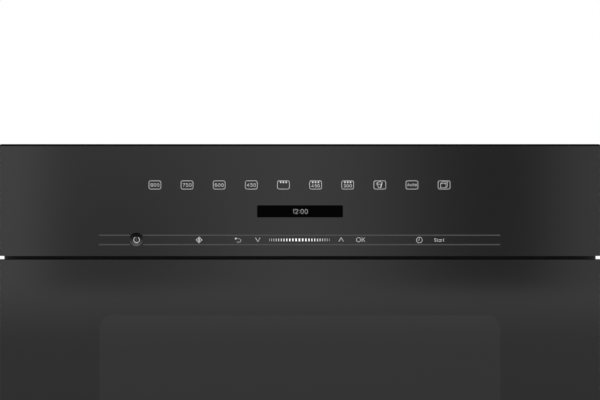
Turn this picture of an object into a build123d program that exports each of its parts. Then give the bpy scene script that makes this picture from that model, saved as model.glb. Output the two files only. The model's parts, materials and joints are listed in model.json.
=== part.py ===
from build123d import *
from math import cos, hypot, radians, sin, sqrt, tan
import os

# Built-in microwave oven with a drop-down door, for a niche of 45 cm.
# Millimetres. X points right, Y to the back and Z up. The origin lies on the floor of the niche, under the
# middle of the appliance's outer box.

# Oven cavity: inside sizes, sheet, and the oven floor's height above the niche floor
cavity_width = 424
cavity_height = 224
cavity_depth = 440
cavity_sheet = 0.8
floor_height = 76
mouth_radius = 6

# Casing: sheet, the free space beside and behind the cavity, turned edges
casing_sheet = 1
side_bay = 62.2
rear_bay = 98.2
base_lip = 14
cover_lip = 12
bead_width = 14
bead_depth = 2

# Mounting flange of the side panels, screwed to the cabinet's front edges
flange_width = 16
fixing_hole = 4.5
fixing_margin = 62

# Front: door and fascia share one glass plane
frame_sheet = 1.2
glass_thickness = 4
glass_overhang = 5.5
glass_corner = 1.8
glass_edge = 0.5
door_core = 16
door_gap = 0.8
door_bottom = 6
top_rail = 16
panel_height = 110.8
panel_gap = 3.2
panel_top_bevel = 2
top_overlap = 10

# Fascia: display window and dished on/off zone, measured from the fascia's middle
display_width = 85
display_height = 12
display_drop = 11.2
display_corner = 1
display_setback = 0.2
display_module_depth = 7
display_module_margin = 4
dish_diameter = 13.6
dish_depth = 1.5
dish_across = 162
dish_drop = 39
carrier_inset = 1.5
carrier_wall = 2
carrier_rib = 1.6
skirt_gap = 1
board_thickness = 1.6
touch_board_width = 440
touch_board_height = 88
socket_length = 40
socket_height = 8
wire_window_width = 54
wire_window_height = 36
wire_window_across = 150

# Door: choke ring, window and frame
choke_width = 26
choke_sheet = 1.5
choke_slot = 4
choke_slot_depth = 5
choke_pitch = 24
cover_thickness = 1.2
frame_inset = 3
frame_wall = 2.5
screen_setback = 5
screen_sheet = 0.8
inner_glass = 3

# Clearances
fit_gap = 0.4
running_gap = 0.05
swing_gap = 3
touch_gap = 0.3

# Door hinge: pin line above the door's bottom edge and before its back face
hinge_rise = 12
hinge_inset = 8
hinge_inboard = 13
hinge_pin_radius = 3
hinge_eye_radius = 6
hinge_lug = 5
hinge_ear = 3
hinge_ear_radius = 5.4
hinge_leaf_height = 30
hinge_bridge = 6
hinge_arm = 58
hinge_foot_width = 18
hinge_foot_sheet = 2

# Door latch: a rod along the door's top rail carries two hooks
latch_inboard = 14
latch_angle = 10
rod_radius = 2
rod_setback = 6
bearing_thickness = 4
bearing_drop = 9
hook_width = 14
hook_half = 3.5
hook_drop = 8.5
barb_start = 17.5
barb_length = 5.5
nose_length = 3
hook_slot_rise = 4
hook_slot_side = 1.5

# Interlock switches and release solenoid under the hooks
plunger_radius = 1.1
plunger_rise = 5
plunger_depth = 8
switch_width = 6.4
switch_length = 20
switch_height = 16
switch_offset = 3.4
terminal_length = 6
terminal_width = 3
terminal_sheet = 0.8
solenoid_width = 12
solenoid_corner = 1
pin_radius = 1.5
bracket_wall = 2.5
bracket_length = 34
bracket_inboard = 18
bracket_outboard = 13

# Turntable
tray_radius = 200
tray_thickness = 4.5
tray_rim = 10
tray_slope = 16
tray_edge = 0.9
tray_gap = 17
recess_radius = 152
recess_depth = 4
hub_hole_radius = 8
stem_radius = 4
stem_depth = 11
coupler_reach = 22
coupler_arm = 8
coupler_arms = 3
tray_lug_radius = 4
tray_lug_circle = 14
tray_lug_height = 4
ring_radius = 112
ring_width = 8
ring_height = 6
roller_width = 8
roller_pin_radius = 2
roller_cap = 2
roller_side_gap = 0.4
motor_radius = 25
motor_height = 16
motor_ear_span = 66
motor_ear_width = 12
motor_ear_sheet = 2

# Grill in the cavity's ceiling
pocket_width = 300
pocket_depth = 230
pocket_rise = 22
pocket_corner = 20
element_radius = 3.25
element_width = 200
element_depth = 170
element_bend = 24
element_drop = 10
terminal_radius = 4.5
terminal_rise = 4

# Deck over the cavity, which carries the magnetron, the fan duct and the power board
deck_gap = 6
deck_setback = 70
deck_lip = 10

# Waveguide on the right of the cavity
waveguide_setback = 230
waveguide_width = 90
waveguide_depth = 40
port_width = 78
port_height = 46
port_rise = 130
port_margin = 12
antenna_hole = 11
cover_margin = 10
mica_sheet = 1

# Magnetron, lying on the deck with its antenna pointing right into the waveguide
yoke_length = 60
yoke_width = 70
yoke_height = 76
yoke_sheet = 1.8
magnet_radius = 27
magnet_bore = 12
magnet_thickness = 10.5
anode_radius = 18
fin_count = 6
fin_sheet = 0.8
antenna_radius = 7.5
antenna_reach = 24
stem_tube_radius = 9
filter_length = 40
filter_width = 52
filter_height = 54
filter_corner = 3

# Fan behind the magnetron, on the rear panel
fan_size = 92
fan_depth = 25
fan_bore = 86
fan_corner = 5
fan_hub_radius = 16
fan_plate = 4
fan_arm = 5
fan_shaft_radius = 2
fan_shaft = 14
rotor_radius = 41
rotor_hub_length = 15
blade_count = 7
blade_chord_root = 13
blade_chord_tip = 19
blade_thickness = 1.4
blade_pitch_root = 50
blade_pitch_tip = 32
duct_wall = 1.5

# High-voltage supply on the base plate behind the cavity
transformer_across = 140
core_width = 100
core_height = 84
core_stack = 50
core_leg = 14
core_window = 17
coil_gap = 0.5
coil_height = 25
core_foot = 10
core_foot_sheet = 2
capacitor_across = 30
capacitor_width = 54
capacitor_thickness = 34
capacitor_height = 96
capacitor_rim = 1.5
blade_terminal = 10
diode_across = -30
diode_radius = 4
diode_length = 22
diode_lug = 6

# Power board on the deck
power_board_width = 130
power_board_length = 160
power_board_across = -190
power_board_setback = 130
standoff_radius = 4
standoff_height = 8
standoff_margin = 8
relay_width = 16
relay_length = 20
relay_height = 16
relay_pitch = 30
relay_count = 4
choke_coil_radius = 16
choke_coil_bore = 6
choke_coil_height = 15
terminal_block_length = 46
terminal_block_width = 14
terminal_block_height = 18

# Oven lamp on the left of the cavity
lamp_setback = 150
lamp_drop = 56
lamp_size = 58
lamp_depth = 36
lamp_sheet = 1
bulb_radius = 11
bulb_cap_radius = 7
bulb_length = 28

# Perforations in the cavity walls and slots in the casing
perforation = 5
perforation_pitch = 9
vent_setback = 350
vent_drop = 70
slot_width = 5
slot_length = 36
slot_pitch = 12
slot_row_pitch = 48
base_slots = (6, 2)
rear_slots = (4, 6)
side_slots = (5, 2)
cover_slots = (2, 8)
lamp_holes = (5, 5)
vent_holes = (6, 3)

# Cable gland in the rear panel
gland_across = -200
gland_drop = 53
gland_bore = 9
gland_neck_radius = 9
gland_flange_radius = 13
gland_flange = 5
gland_dome = 3
gland_nut = 6

# Widths that follow
cavity_half = cavity_width / 2
cavity_side = cavity_half + cavity_sheet
casing_inner = cavity_side + side_bay
body_half = casing_inner + casing_sheet
flange_half = body_half + flange_width
front_half = flange_half + glass_overhang
choke_half = cavity_half + choke_width
door_half = front_half - frame_inset
hinge_across = casing_inner - hinge_inboard
latch_across = casing_inner - latch_inboard

# Depths that follow, from the glass front to the back of the gland
gland_proud = gland_flange + gland_dome
front_depth = glass_thickness + door_core + door_gap + frame_sheet
body_depth = cavity_depth + cavity_sheet + rear_bay + casing_sheet
glass_front = -(front_depth + body_depth + gland_proud) / 2
glass_back = glass_front + glass_thickness
door_back = glass_back + door_core
frame_front = door_back + door_gap
niche_edge = frame_front + frame_sheet
cavity_back = niche_edge + cavity_depth
body_back = niche_edge + body_depth
rear_inner = body_back - casing_sheet

# Heights that follow
cavity_top = floor_height + cavity_height
choke_low = floor_height - choke_width
choke_high = cavity_top + choke_width
door_top = choke_high + top_rail
panel_low = door_top + panel_gap
panel_top = panel_low + panel_height
panel_middle = (panel_low + panel_top) / 2
body_top = panel_top - top_overlap
cover_low = body_top - casing_sheet
deck_low = cavity_top + pocket_rise + cavity_sheet + deck_gap
deck_top = deck_low + casing_sheet

# Hinge line, and what the door's lower back corner sweeps
hinge_y = door_back - hinge_inset
hinge_z = door_bottom + hinge_rise
door_sweep = hypot(hinge_inset, hinge_rise) + swing_gap
base_front = hinge_y + door_sweep
frame_low = hinge_z + door_sweep

# Latch line, in the middle of the top rail's hollow, and the switches below the hooks
latch_y = glass_back + rod_setback
latch_z = (choke_high + fit_gap + door_top - frame_inset) / 2
hook_slot_low = latch_z - hook_drop - fit_gap
hook_slot_high = latch_z + hook_half + hook_slot_rise
hook_slot_half = hook_width / 2 + hook_slot_side
plunger_y = latch_y + barb_start + barb_length / 2
plunger_top = latch_z - hook_drop - touch_gap
plunger_travel = (barb_start + barb_length) * tan(radians(latch_angle))
switch_top = plunger_top - plunger_rise
shelf_top = switch_top - switch_height
switch_front = niche_edge + bracket_wall + touch_gap

# Turntable axis and levels
turntable_y = niche_edge + cavity_depth / 2
track_z = floor_height - recess_depth
tray_low = track_z + tray_gap
roller_radius = tray_gap / 2 - touch_gap
roller_z = track_z + tray_gap / 2
ring_outer = ring_radius + ring_width / 2
roller_middle = ring_outer + roller_side_gap + roller_width / 2
motor_top = track_z - cavity_sheet

# Magnetron, waveguide and fan
waveguide_y = niche_edge + waveguide_setback
port_z = floor_height + port_rise
magnetron_z = deck_top + yoke_height / 2
waveguide_low = port_z - port_height / 2 - port_margin
waveguide_top = magnetron_z + antenna_hole + port_margin * 2
yoke_left = cavity_side - yoke_length
magnetron_x = cavity_side - yoke_length / 2
anode_right = cavity_side - yoke_sheet - magnet_thickness
anode_left = yoke_left + yoke_sheet + magnet_thickness
fan_x = cavity_side - fan_size / 2
fan_z = deck_top + fan_size / 2
fan_front = rear_inner - fan_depth
yoke_back = waveguide_y + yoke_width / 2

# Sideways and upright places of the smaller pieces
dish_x = -dish_across
dish_z = panel_middle - dish_drop
display_z = panel_middle - display_drop
lamp_y = niche_edge + lamp_setback
lamp_z = cavity_top - lamp_drop
vent_y = niche_edge + vent_setback
vent_z = cavity_top - vent_drop
supply_y = (cavity_back + cavity_sheet + rear_inner) / 2
gland_z = cover_low - gland_drop

# Screws of the mounting flange, above and below, where the open door leaves it bare
fixing_x = body_half + flange_width / 2
fixing_low = frame_low + fixing_margin
fixing_high = door_top - fixing_margin


def front_plane(y):
    """The upright plane at depth y, facing the front: its own axes are X and Z."""
    return Plane.XZ.offset(-y)


def side_plane(x):
    """The upright plane at x, facing right: its own axes are Y and Z."""
    return Plane.YZ.offset(x)


def level(z):
    """The level plane at height z."""
    return Plane.XY.offset(z)


def span(left, right, low, high, mode=Mode.ADD):
    """A rectangle between two corners of the sketch at hand."""
    with Locations(((left + right) / 2, (low + high) / 2)):
        Rectangle(right - left, high - low, mode=mode)


def write(piece, label):
    """Name a finished piece and write its file."""
    piece.part.label = label
    export_step(piece.part, f"parts/{label}.step")


def write_pair(piece, label):
    """Write a piece as the right one of a pair, and its mirror image as the left one."""
    write(piece, f"right_{label}")
    with BuildPart() as left:
        mirror(piece.part, about=Plane.YZ)
    write(left, f"left_{label}")


os.makedirs("parts", exist_ok=True)

# Base plate: a tray with turned-up edges and two rows of air slots
front_lip_half = hinge_across - hinge_foot_width - swing_gap
with BuildPart() as base_plate:
    with BuildSketch(level(0)):
        span(-casing_inner, casing_inner, base_front, rear_inner)
    extrude(amount=casing_sheet)
    with BuildSketch(level(casing_sheet)):
        span(-casing_inner, casing_inner, base_front, rear_inner)
        span(-casing_inner + casing_sheet, casing_inner - casing_sheet, base_front,
             rear_inner - casing_sheet, mode=Mode.SUBTRACT)
        span(-front_lip_half, front_lip_half, base_front, base_front + casing_sheet)
    extrude(amount=base_lip)
    with BuildSketch(level(0)):
        with Locations((0, base_front + slot_length), (0, supply_y - capacitor_thickness)):
            with GridLocations(slot_row_pitch, slot_pitch, *base_slots):
                SlotOverall(slot_length, slot_width)
    extrude(amount=casing_sheet, mode=Mode.SUBTRACT)
write(base_plate, "base_plate")

# Rear panel: fan grille, cable gland hole, a pressed bead and a block of air slots
grille_rows = int(fan_bore / 2 / slot_pitch)
with BuildPart() as rear_panel:
    with BuildSketch(front_plane(body_back)):
        span(-casing_inner, casing_inner, 0, cover_low)
    extrude(amount=casing_sheet)
    with BuildSketch(front_plane(body_back)):
        for row in range(-grille_rows, grille_rows + 1):
            height = row * slot_pitch
            chord = sqrt((fan_bore / 2) ** 2 - height**2)
            with Locations((fan_x - chord / 2, fan_z + height), (fan_x + chord / 2, fan_z + height)):
                Rectangle(chord - slot_width, slot_width)
        with Locations((gland_across, gland_z)):
            Circle(gland_neck_radius + running_gap)
        with Locations((0, (floor_height + cavity_top) / 2)):
            with GridLocations(slot_row_pitch, slot_pitch, *rear_slots):
                SlotOverall(slot_length, slot_width)
    extrude(amount=casing_sheet, mode=Mode.SUBTRACT)
    bead_x = casing_inner - 3 * bead_width
    with BuildSketch(front_plane(body_back)):
        with Locations((-bead_x, cavity_top / 2), (bead_x, cavity_top / 2)):
            SlotOverall(cavity_height + 2 * casing_sheet, bead_width + 2 * casing_sheet, rotation=90)
    extrude(amount=bead_depth + casing_sheet)
    with BuildSketch(front_plane(body_back)):
        with Locations((-bead_x, cavity_top / 2), (bead_x, cavity_top / 2)):
            SlotOverall(cavity_height, bead_width, rotation=90)
    extrude(amount=bead_depth, mode=Mode.SUBTRACT)
write(rear_panel, "rear_panel")

# Side panels: a sheet with the mounting flange turned out at its front edge
with BuildPart() as side_panel:
    with BuildSketch(side_plane(casing_inner)):
        span(frame_front, body_back, 0, cover_low)
        span(frame_front, base_front, 0, frame_low, mode=Mode.SUBTRACT)
        with Locations((supply_y, floor_height)):
            with GridLocations(slot_pitch, slot_row_pitch, *side_slots):
                SlotOverall(slot_length, slot_width, rotation=90, mode=Mode.SUBTRACT)
    extrude(amount=casing_sheet)
    with BuildSketch(front_plane(niche_edge)):
        span(body_half, flange_half, frame_low, cover_low)
        with Locations((fixing_x, fixing_low), (fixing_x, fixing_high)):
            Circle(fixing_hole / 2, mode=Mode.SUBTRACT)
    extrude(amount=frame_sheet)
write_pair(side_panel, "side_panel")

# Top cover: turned-down edges, two pressed beads and air slots over the power board
cover_bead = cavity_depth / 2
with BuildPart() as top_cover:
    with BuildSketch(level(cover_low)):
        span(-body_half, body_half, frame_front, body_back)
        with Locations((power_board_across, niche_edge + power_board_setback + power_board_length / 2)):
            with GridLocations(slot_row_pitch, slot_pitch, *cover_slots):
                SlotOverall(slot_length, slot_width, mode=Mode.SUBTRACT)
    extrude(amount=casing_sheet)
    with BuildSketch(level(cover_low)):
        for side in (-1, 1):
            with Locations((side * (casing_inner - casing_sheet / 2), turntable_y)):
                Rectangle(casing_sheet, cavity_depth)
    extrude(amount=-cover_lip)
    with BuildSketch(level(body_top)):
        with Locations((0, turntable_y), (cavity_half / 2, turntable_y)):
            SlotOverall(cover_bead + 2 * casing_sheet, bead_width + 2 * casing_sheet, rotation=90)
    extrude(amount=-bead_depth - casing_sheet)
    with BuildSketch(level(body_top)):
        with Locations((0, turntable_y), (cavity_half / 2, turntable_y)):
            SlotOverall(cover_bead, bead_width, rotation=90)
    extrude(amount=-bead_depth, mode=Mode.SUBTRACT)
write(top_cover, "top_cover")

# Front frame: the sheet round the oven mouth, with the hook slots and the windows behind the fascia
with BuildPart() as front_frame:
    with BuildSketch(front_plane(niche_edge)):
        span(-casing_inner, casing_inner, frame_low, cover_low)
        with Locations((0, (floor_height + cavity_top) / 2)):
            RectangleRounded(cavity_width, cavity_height, mouth_radius, mode=Mode.SUBTRACT)
        for side in (-1, 1):
            centre = side * latch_across
            span(centre - hook_slot_half, centre + hook_slot_half, hook_slot_low, hook_slot_high,
                 mode=Mode.SUBTRACT)
            with Locations((side * wire_window_across, panel_middle)):
                Rectangle(wire_window_width, wire_window_height, mode=Mode.SUBTRACT)
    extrude(amount=frame_sheet)
write(front_frame, "front_frame")

# Mounting deck: a shelf over the cavity, notched for the waveguide
notch_half = waveguide_width / 2 + fit_gap
with BuildPart() as mounting_deck:
    with BuildSketch(level(deck_low)):
        span(-casing_inner, casing_inner, niche_edge + deck_setback, rear_inner)
        span(cavity_side - fit_gap, casing_inner, waveguide_y - notch_half, waveguide_y + notch_half,
             mode=Mode.SUBTRACT)
    extrude(amount=casing_sheet)
    with BuildSketch(level(deck_low)):
        span(-casing_inner, -casing_inner + casing_sheet, niche_edge + deck_setback, rear_inner)
        span(casing_inner - casing_sheet, casing_inner, waveguide_y + notch_half, rear_inner)
        span(casing_inner - casing_sheet, casing_inner, niche_edge + deck_setback, waveguide_y - notch_half)
        span(-casing_inner, casing_inner, rear_inner - casing_sheet, rear_inner)
    extrude(amount=-deck_lip)
write(mounting_deck, "mounting_deck")

# Cable gland: nut inside, flange and dome outside, one bore through
with BuildPart() as cable_gland:
    with BuildSketch(front_plane(rear_inner)):
        with Locations((gland_across, gland_z)):
            RegularPolygon(gland_flange_radius, 6)
    extrude(amount=gland_nut)
    with BuildSketch(front_plane(body_back)):
        with Locations((gland_across, gland_z)):
            Circle(gland_neck_radius)
    extrude(amount=casing_sheet)
    with BuildSketch(front_plane(body_back)):
        with Locations((gland_across, gland_z)):
            RegularPolygon(gland_flange_radius, 6)
    extrude(amount=-gland_flange)
    with BuildSketch(front_plane(body_back + gland_flange)):
        with Locations((gland_across, gland_z)):
            Circle(gland_neck_radius)
    extrude(amount=-gland_dome)
    with BuildSketch(front_plane(body_back + gland_proud)):
        with Locations((gland_across, gland_z)):
            Circle(gland_bore / 2)
    extrude(amount=gland_proud + casing_sheet + gland_nut, mode=Mode.SUBTRACT)
write(cable_gland, "cable_gland")

# Cavity floor: a sheet with a round sunk track for the rollers and a hole for the drive
with BuildPart() as cavity_floor:
    with BuildSketch(level(floor_height)):
        span(-cavity_half, cavity_half, niche_edge, cavity_back)
        with Locations((0, turntable_y)):
            Circle(recess_radius, mode=Mode.SUBTRACT)
    extrude(amount=-cavity_sheet)
    slope = recess_radius - recess_depth
    with BuildSketch(front_plane(turntable_y)):
        with BuildLine():
            Polyline(
                (hub_hole_radius, track_z),
                (slope, track_z),
                (recess_radius, floor_height),
                (recess_radius + cavity_sheet / 2, floor_height - cavity_sheet),
                (slope + cavity_sheet / 2, track_z - cavity_sheet),
                (hub_hole_radius, track_z - cavity_sheet),
                close=True,
            )
        make_face()
    revolve(axis=Axis((0, turntable_y, 0), (0, 0, 1)))
write(cavity_floor, "cavity_floor")

# Cavity ceiling: a sheet with a raised pocket for the grill
terminal_y = turntable_y + element_depth / 2
terminal_places = ((-element_width / 2, terminal_y), (element_width / 2, terminal_y))
with BuildPart() as cavity_ceiling:
    with BuildSketch(level(cavity_top)):
        span(-cavity_half, cavity_half, niche_edge, cavity_back)
    extrude(amount=cavity_sheet)
    with BuildSketch(level(cavity_top)):
        with Locations((0, turntable_y)):
            RectangleRounded(pocket_width + 2 * cavity_sheet, pocket_depth + 2 * cavity_sheet,
                             pocket_corner + cavity_sheet)
    extrude(amount=pocket_rise + cavity_sheet)
    with BuildSketch(level(cavity_top)):
        with Locations((0, turntable_y)):
            RectangleRounded(pocket_width, pocket_depth, pocket_corner)
    extrude(amount=pocket_rise, mode=Mode.SUBTRACT)
    with BuildSketch(level(cavity_top + pocket_rise)):
        with Locations(*terminal_places):
            Circle(element_radius + running_gap)
    extrude(amount=cavity_sheet, mode=Mode.SUBTRACT)
write(cavity_ceiling, "cavity_ceiling")

# Cavity walls: lamp and outlet perforations on the left, waveguide port and inlet on the right
wall_low = floor_height - cavity_sheet
wall_high = cavity_top + cavity_sheet
with BuildPart() as cavity_left_wall:
    with BuildSketch(side_plane(-cavity_side)):
        span(niche_edge, cavity_back, wall_low, wall_high)
        with Locations((lamp_y, lamp_z)):
            with GridLocations(perforation_pitch, perforation_pitch, *lamp_holes):
                Circle(perforation / 2, mode=Mode.SUBTRACT)
        with Locations((vent_y, vent_z)):
            with GridLocations(perforation_pitch, perforation_pitch, *vent_holes):
                Circle(perforation / 2, mode=Mode.SUBTRACT)
    extrude(amount=cavity_sheet)
write(cavity_left_wall, "cavity_left_wall")

with BuildPart() as cavity_right_wall:
    with BuildSketch(side_plane(cavity_half)):
        span(niche_edge, cavity_back, wall_low, wall_high)
        with Locations((waveguide_y, port_z)):
            Rectangle(port_width, port_height, mode=Mode.SUBTRACT)
        with Locations((vent_y, vent_z)):
            with GridLocations(perforation_pitch, perforation_pitch, *vent_holes):
                Circle(perforation / 2, mode=Mode.SUBTRACT)
    extrude(amount=cavity_sheet)
write(cavity_right_wall, "cavity_right_wall")

with BuildPart() as cavity_rear_wall:
    with BuildSketch(front_plane(cavity_back + cavity_sheet)):
        span(-cavity_side, cavity_side, wall_low, wall_high)
    extrude(amount=cavity_sheet)
    rear_plane = front_plane(cavity_back)
    with BuildSketch(rear_plane):
        with Locations((0, (floor_height + cavity_top) / 2)):
            RectangleRounded(pocket_width + 2 * cavity_sheet, cavity_height / 2 + 2 * cavity_sheet,
                             pocket_corner + cavity_sheet)
    extrude(amount=-bead_depth - cavity_sheet)
    with BuildSketch(rear_plane):
        with Locations((0, (floor_height + cavity_top) / 2)):
            RectangleRounded(pocket_width, cavity_height / 2, pocket_corner)
    extrude(amount=-bead_depth, mode=Mode.SUBTRACT)
write(cavity_rear_wall, "cavity_rear_wall")

# Grill element: one bent tube in the pocket, its ends turned up through the pocket's top
element_z = cavity_top + pocket_rise - element_drop
with BuildPart() as grill_element:
    front_y = turntable_y - element_depth / 2
    run = element_width / 6
    back_y = turntable_y + element_depth / 2 - 2 * element_bend
    with BuildLine() as element_path:
        FilletPolyline(
            (-3 * run, terminal_y, element_z),
            (-3 * run, front_y, element_z),
            (-run, front_y, element_z),
            (-run, back_y, element_z),
            (run, back_y, element_z),
            (run, front_y, element_z),
            (3 * run, front_y, element_z),
            (3 * run, terminal_y, element_z),
            radius=element_bend,
        )
    with BuildSketch(front_plane(terminal_y)):
        with Locations((-3 * run, element_z)):
            Circle(element_radius)
    sweep(path=element_path.wires()[0])
    for place in terminal_places:
        with BuildSketch(level(element_z - element_radius)):
            with Locations(place):
                Circle(element_radius)
        extrude(amount=element_drop + element_radius + cavity_sheet + terminal_rise)
        with BuildSketch(level(element_z)):
            with Locations(place):
                Circle(terminal_radius)
        extrude(amount=element_drop)
write(grill_element, "grill_element")

# Lamp: an open box against the left wall and a bulb on its far side
lamp_right = -cavity_side
lamp_left = lamp_right - lamp_depth
with BuildPart() as lamp_housing:
    with BuildSketch(side_plane(lamp_right)):
        with Locations((lamp_y, lamp_z)):
            Rectangle(lamp_size, lamp_size)
    extrude(amount=-lamp_depth)
    with BuildSketch(side_plane(lamp_right)):
        with Locations((lamp_y, lamp_z)):
            Rectangle(lamp_size - 2 * lamp_sheet, lamp_size - 2 * lamp_sheet)
    extrude(amount=-lamp_depth + lamp_sheet, mode=Mode.SUBTRACT)
write(lamp_housing, "lamp_housing")

bulb_left = lamp_left + lamp_sheet
with BuildPart() as lamp_bulb:
    with BuildSketch(front_plane(lamp_y)):
        with BuildLine():
            ball_x = bulb_left + bulb_length - bulb_radius
            neck_x = ball_x - sqrt(bulb_radius**2 - bulb_cap_radius**2)
            Polyline((neck_x, lamp_z), (bulb_left, lamp_z), (bulb_left, lamp_z + bulb_cap_radius),
                     (neck_x, lamp_z + bulb_cap_radius))
            ThreePointArc((neck_x, lamp_z + bulb_cap_radius), (ball_x, lamp_z + bulb_radius),
                          (ball_x + bulb_radius, lamp_z))
            Line((ball_x + bulb_radius, lamp_z), (neck_x, lamp_z))
        make_face()
    revolve(axis=Axis((0, lamp_y, lamp_z), (1, 0, 0)))
write(lamp_bulb, "lamp_bulb")

# Waveguide: a closed duct with a port to the cavity below and the antenna hole above
with BuildPart() as waveguide:
    duct_half = waveguide_width / 2
    with BuildSketch(side_plane(cavity_side)):
        span(waveguide_y - duct_half, waveguide_y + duct_half, waveguide_low, waveguide_top)
    extrude(amount=waveguide_depth)
    with BuildSketch(side_plane(cavity_side + cavity_sheet)):
        span(waveguide_y - duct_half + cavity_sheet, waveguide_y + duct_half - cavity_sheet,
             waveguide_low + cavity_sheet, waveguide_top - cavity_sheet)
    extrude(amount=waveguide_depth - 2 * cavity_sheet, mode=Mode.SUBTRACT)
    with BuildSketch(side_plane(cavity_side)):
        with Locations((waveguide_y, port_z)):
            Rectangle(port_width, port_height)
        with Locations((waveguide_y, magnetron_z)):
            Circle(antenna_hole)
    extrude(amount=cavity_sheet, mode=Mode.SUBTRACT)
write(waveguide, "waveguide")

# Waveguide cover: a mica sheet over the port, inside the cavity
with BuildPart() as waveguide_cover:
    with BuildSketch(side_plane(cavity_half)):
        with Locations((waveguide_y, port_z)):
            RectangleRounded(port_width + 2 * cover_margin, port_height + 2 * cover_margin, cover_margin)
    extrude(amount=-mica_sheet)
write(waveguide_cover, "waveguide_cover")

# Magnetron yoke: a steel frame open to the air stream, with the filter box on its left end
yoke_right = cavity_side
with BuildPart() as magnetron_yoke:
    with BuildSketch(front_plane(yoke_back)):
        span(yoke_left, yoke_right, deck_top, deck_top + yoke_height)
        span(yoke_left + yoke_sheet, yoke_right - yoke_sheet, deck_top + yoke_sheet,
             deck_top + yoke_height - yoke_sheet, mode=Mode.SUBTRACT)
    extrude(amount=yoke_width)
    with BuildSketch(side_plane(yoke_left)):
        with Locations((waveguide_y, magnetron_z)):
            RectangleRounded(filter_width, filter_height, filter_corner)
    extrude(amount=-filter_length)
    with BuildSketch(side_plane(yoke_left - filter_length + yoke_sheet)):
        with Locations((waveguide_y, magnetron_z)):
            Rectangle(filter_width - 2 * yoke_sheet, filter_height - 2 * yoke_sheet)
    extrude(amount=filter_length - yoke_sheet, mode=Mode.SUBTRACT)
    with BuildSketch(side_plane(yoke_left)):
        with Locations((waveguide_y, magnetron_z)):
            Circle(stem_tube_radius + fit_gap)
    extrude(amount=yoke_length, mode=Mode.SUBTRACT)
write(magnetron_yoke, "magnetron_yoke")

# Magnetron magnets: a ring against each end of the yoke
with BuildPart() as magnetron_magnets:
    for left in (yoke_left + yoke_sheet, anode_right):
        with BuildSketch(side_plane(left)):
            with Locations((waveguide_y, magnetron_z)):
                Circle(magnet_radius)
                Circle(magnet_bore, mode=Mode.SUBTRACT)
        extrude(amount=magnet_thickness)
write(magnetron_magnets, "magnetron_magnets")

# Magnetron anode: the tube, its cooling fins, the cathode stem and the domed antenna
fin_pitch = (anode_right - anode_left) / fin_count
fin_low = deck_top + yoke_sheet
fin_high = deck_top + yoke_height - yoke_sheet
with BuildPart() as magnetron_anode:
    with BuildSketch(side_plane(anode_left)):
        with Locations((waveguide_y, magnetron_z)):
            Circle(anode_radius)
    extrude(amount=anode_right - anode_left)
    for fin in range(fin_count):
        with BuildSketch(side_plane(anode_left + (fin + 0.5) * fin_pitch - fin_sheet / 2)):
            span(waveguide_y - yoke_width / 2, waveguide_y + yoke_width / 2, fin_low, fin_high)
        extrude(amount=fin_sheet)
    with BuildSketch(side_plane(yoke_left)):
        with Locations((waveguide_y, magnetron_z)):
            Circle(stem_tube_radius)
    extrude(amount=yoke_length)
    with BuildSketch(side_plane(yoke_right)):
        with Locations((waveguide_y, magnetron_z)):
            Circle(antenna_radius)
    extrude(amount=antenna_reach)
    tip = magnetron_anode.edges().group_by(Axis.X)[-1]
    fillet(tip, antenna_radius / 2)
write(magnetron_anode, "magnetron_anode")

# Fan housing: a square frame with a round bore, and the bearing plate on four arms
fan_centre = (fan_x, fan_z)
with BuildPart() as fan_housing:
    with BuildSketch(front_plane(rear_inner)):
        with Locations(fan_centre):
            RectangleRounded(fan_size, fan_size, fan_corner)
            Circle(fan_bore / 2, mode=Mode.SUBTRACT)
    extrude(amount=fan_depth)
    with BuildSketch(front_plane(rear_inner)):
        with Locations(fan_centre):
            Circle(fan_hub_radius)
            Rectangle(fan_bore + fan_arm, fan_arm, rotation=45)
            Rectangle(fan_bore + fan_arm, fan_arm, rotation=-45)
    extrude(amount=fan_plate)
    with BuildSketch(front_plane(rear_inner - fan_plate)):
        with Locations(fan_centre):
            Circle(fan_shaft_radius)
    extrude(amount=fan_shaft)
write(fan_housing, "fan_housing")

# Fan rotor: a cup on the shaft with twisted blades
rotor_back = rear_inner - fan_plate - touch_gap
with BuildPart() as fan_rotor:
    with BuildSketch(front_plane(rotor_back)):
        with Locations(fan_centre):
            Circle(fan_hub_radius)
    extrude(amount=rotor_hub_length)
    nose = fan_rotor.faces().sort_by(Axis.Y)[0].edges()
    fillet(nose, fan_plate)
    rotor_middle = rotor_back - rotor_hub_length / 2
    for blade in range(blade_count):
        turn = radians(blade * 360 / blade_count)
        outward = Vector(cos(turn), 0, sin(turn))
        along = Vector(-sin(turn), 0, cos(turn))
        sections = (
            (fan_hub_radius - blade_thickness, blade_chord_root, blade_pitch_root),
            (rotor_radius, blade_chord_tip, blade_pitch_tip),
        )
        for radius, chord, pitch in sections:
            tilt = radians(pitch)
            middle = Vector(fan_x, rotor_middle, fan_z) + outward * radius
            chord_line = Vector(0, 1, 0) * sin(tilt) + along * cos(tilt)
            with BuildSketch(Plane(middle, x_dir=chord_line, z_dir=outward)):
                Rectangle(chord, blade_thickness)
        loft()
    with BuildSketch(front_plane(rotor_back)):
        with Locations(fan_centre):
            Circle(fan_shaft_radius + running_gap)
    extrude(amount=fan_shaft, mode=Mode.SUBTRACT)
write(fan_rotor, "fan_rotor")

# Air duct: from the fan's square frame to the open side of the yoke, standing on the deck
with BuildPart() as air_duct:
    for wall, mode in ((0, Mode.ADD), (duct_wall, Mode.SUBTRACT)):
        with BuildSketch(front_plane(fan_front)):
            with Locations(fan_centre):
                Rectangle(fan_size - 2 * wall, fan_size - 2 * wall)
        with BuildSketch(front_plane(yoke_back)):
            with Locations((magnetron_x, magnetron_z)):
                Rectangle(yoke_length - 2 * wall, yoke_height - 2 * wall)
        loft(mode=mode)
write(air_duct, "air_duct")

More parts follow.
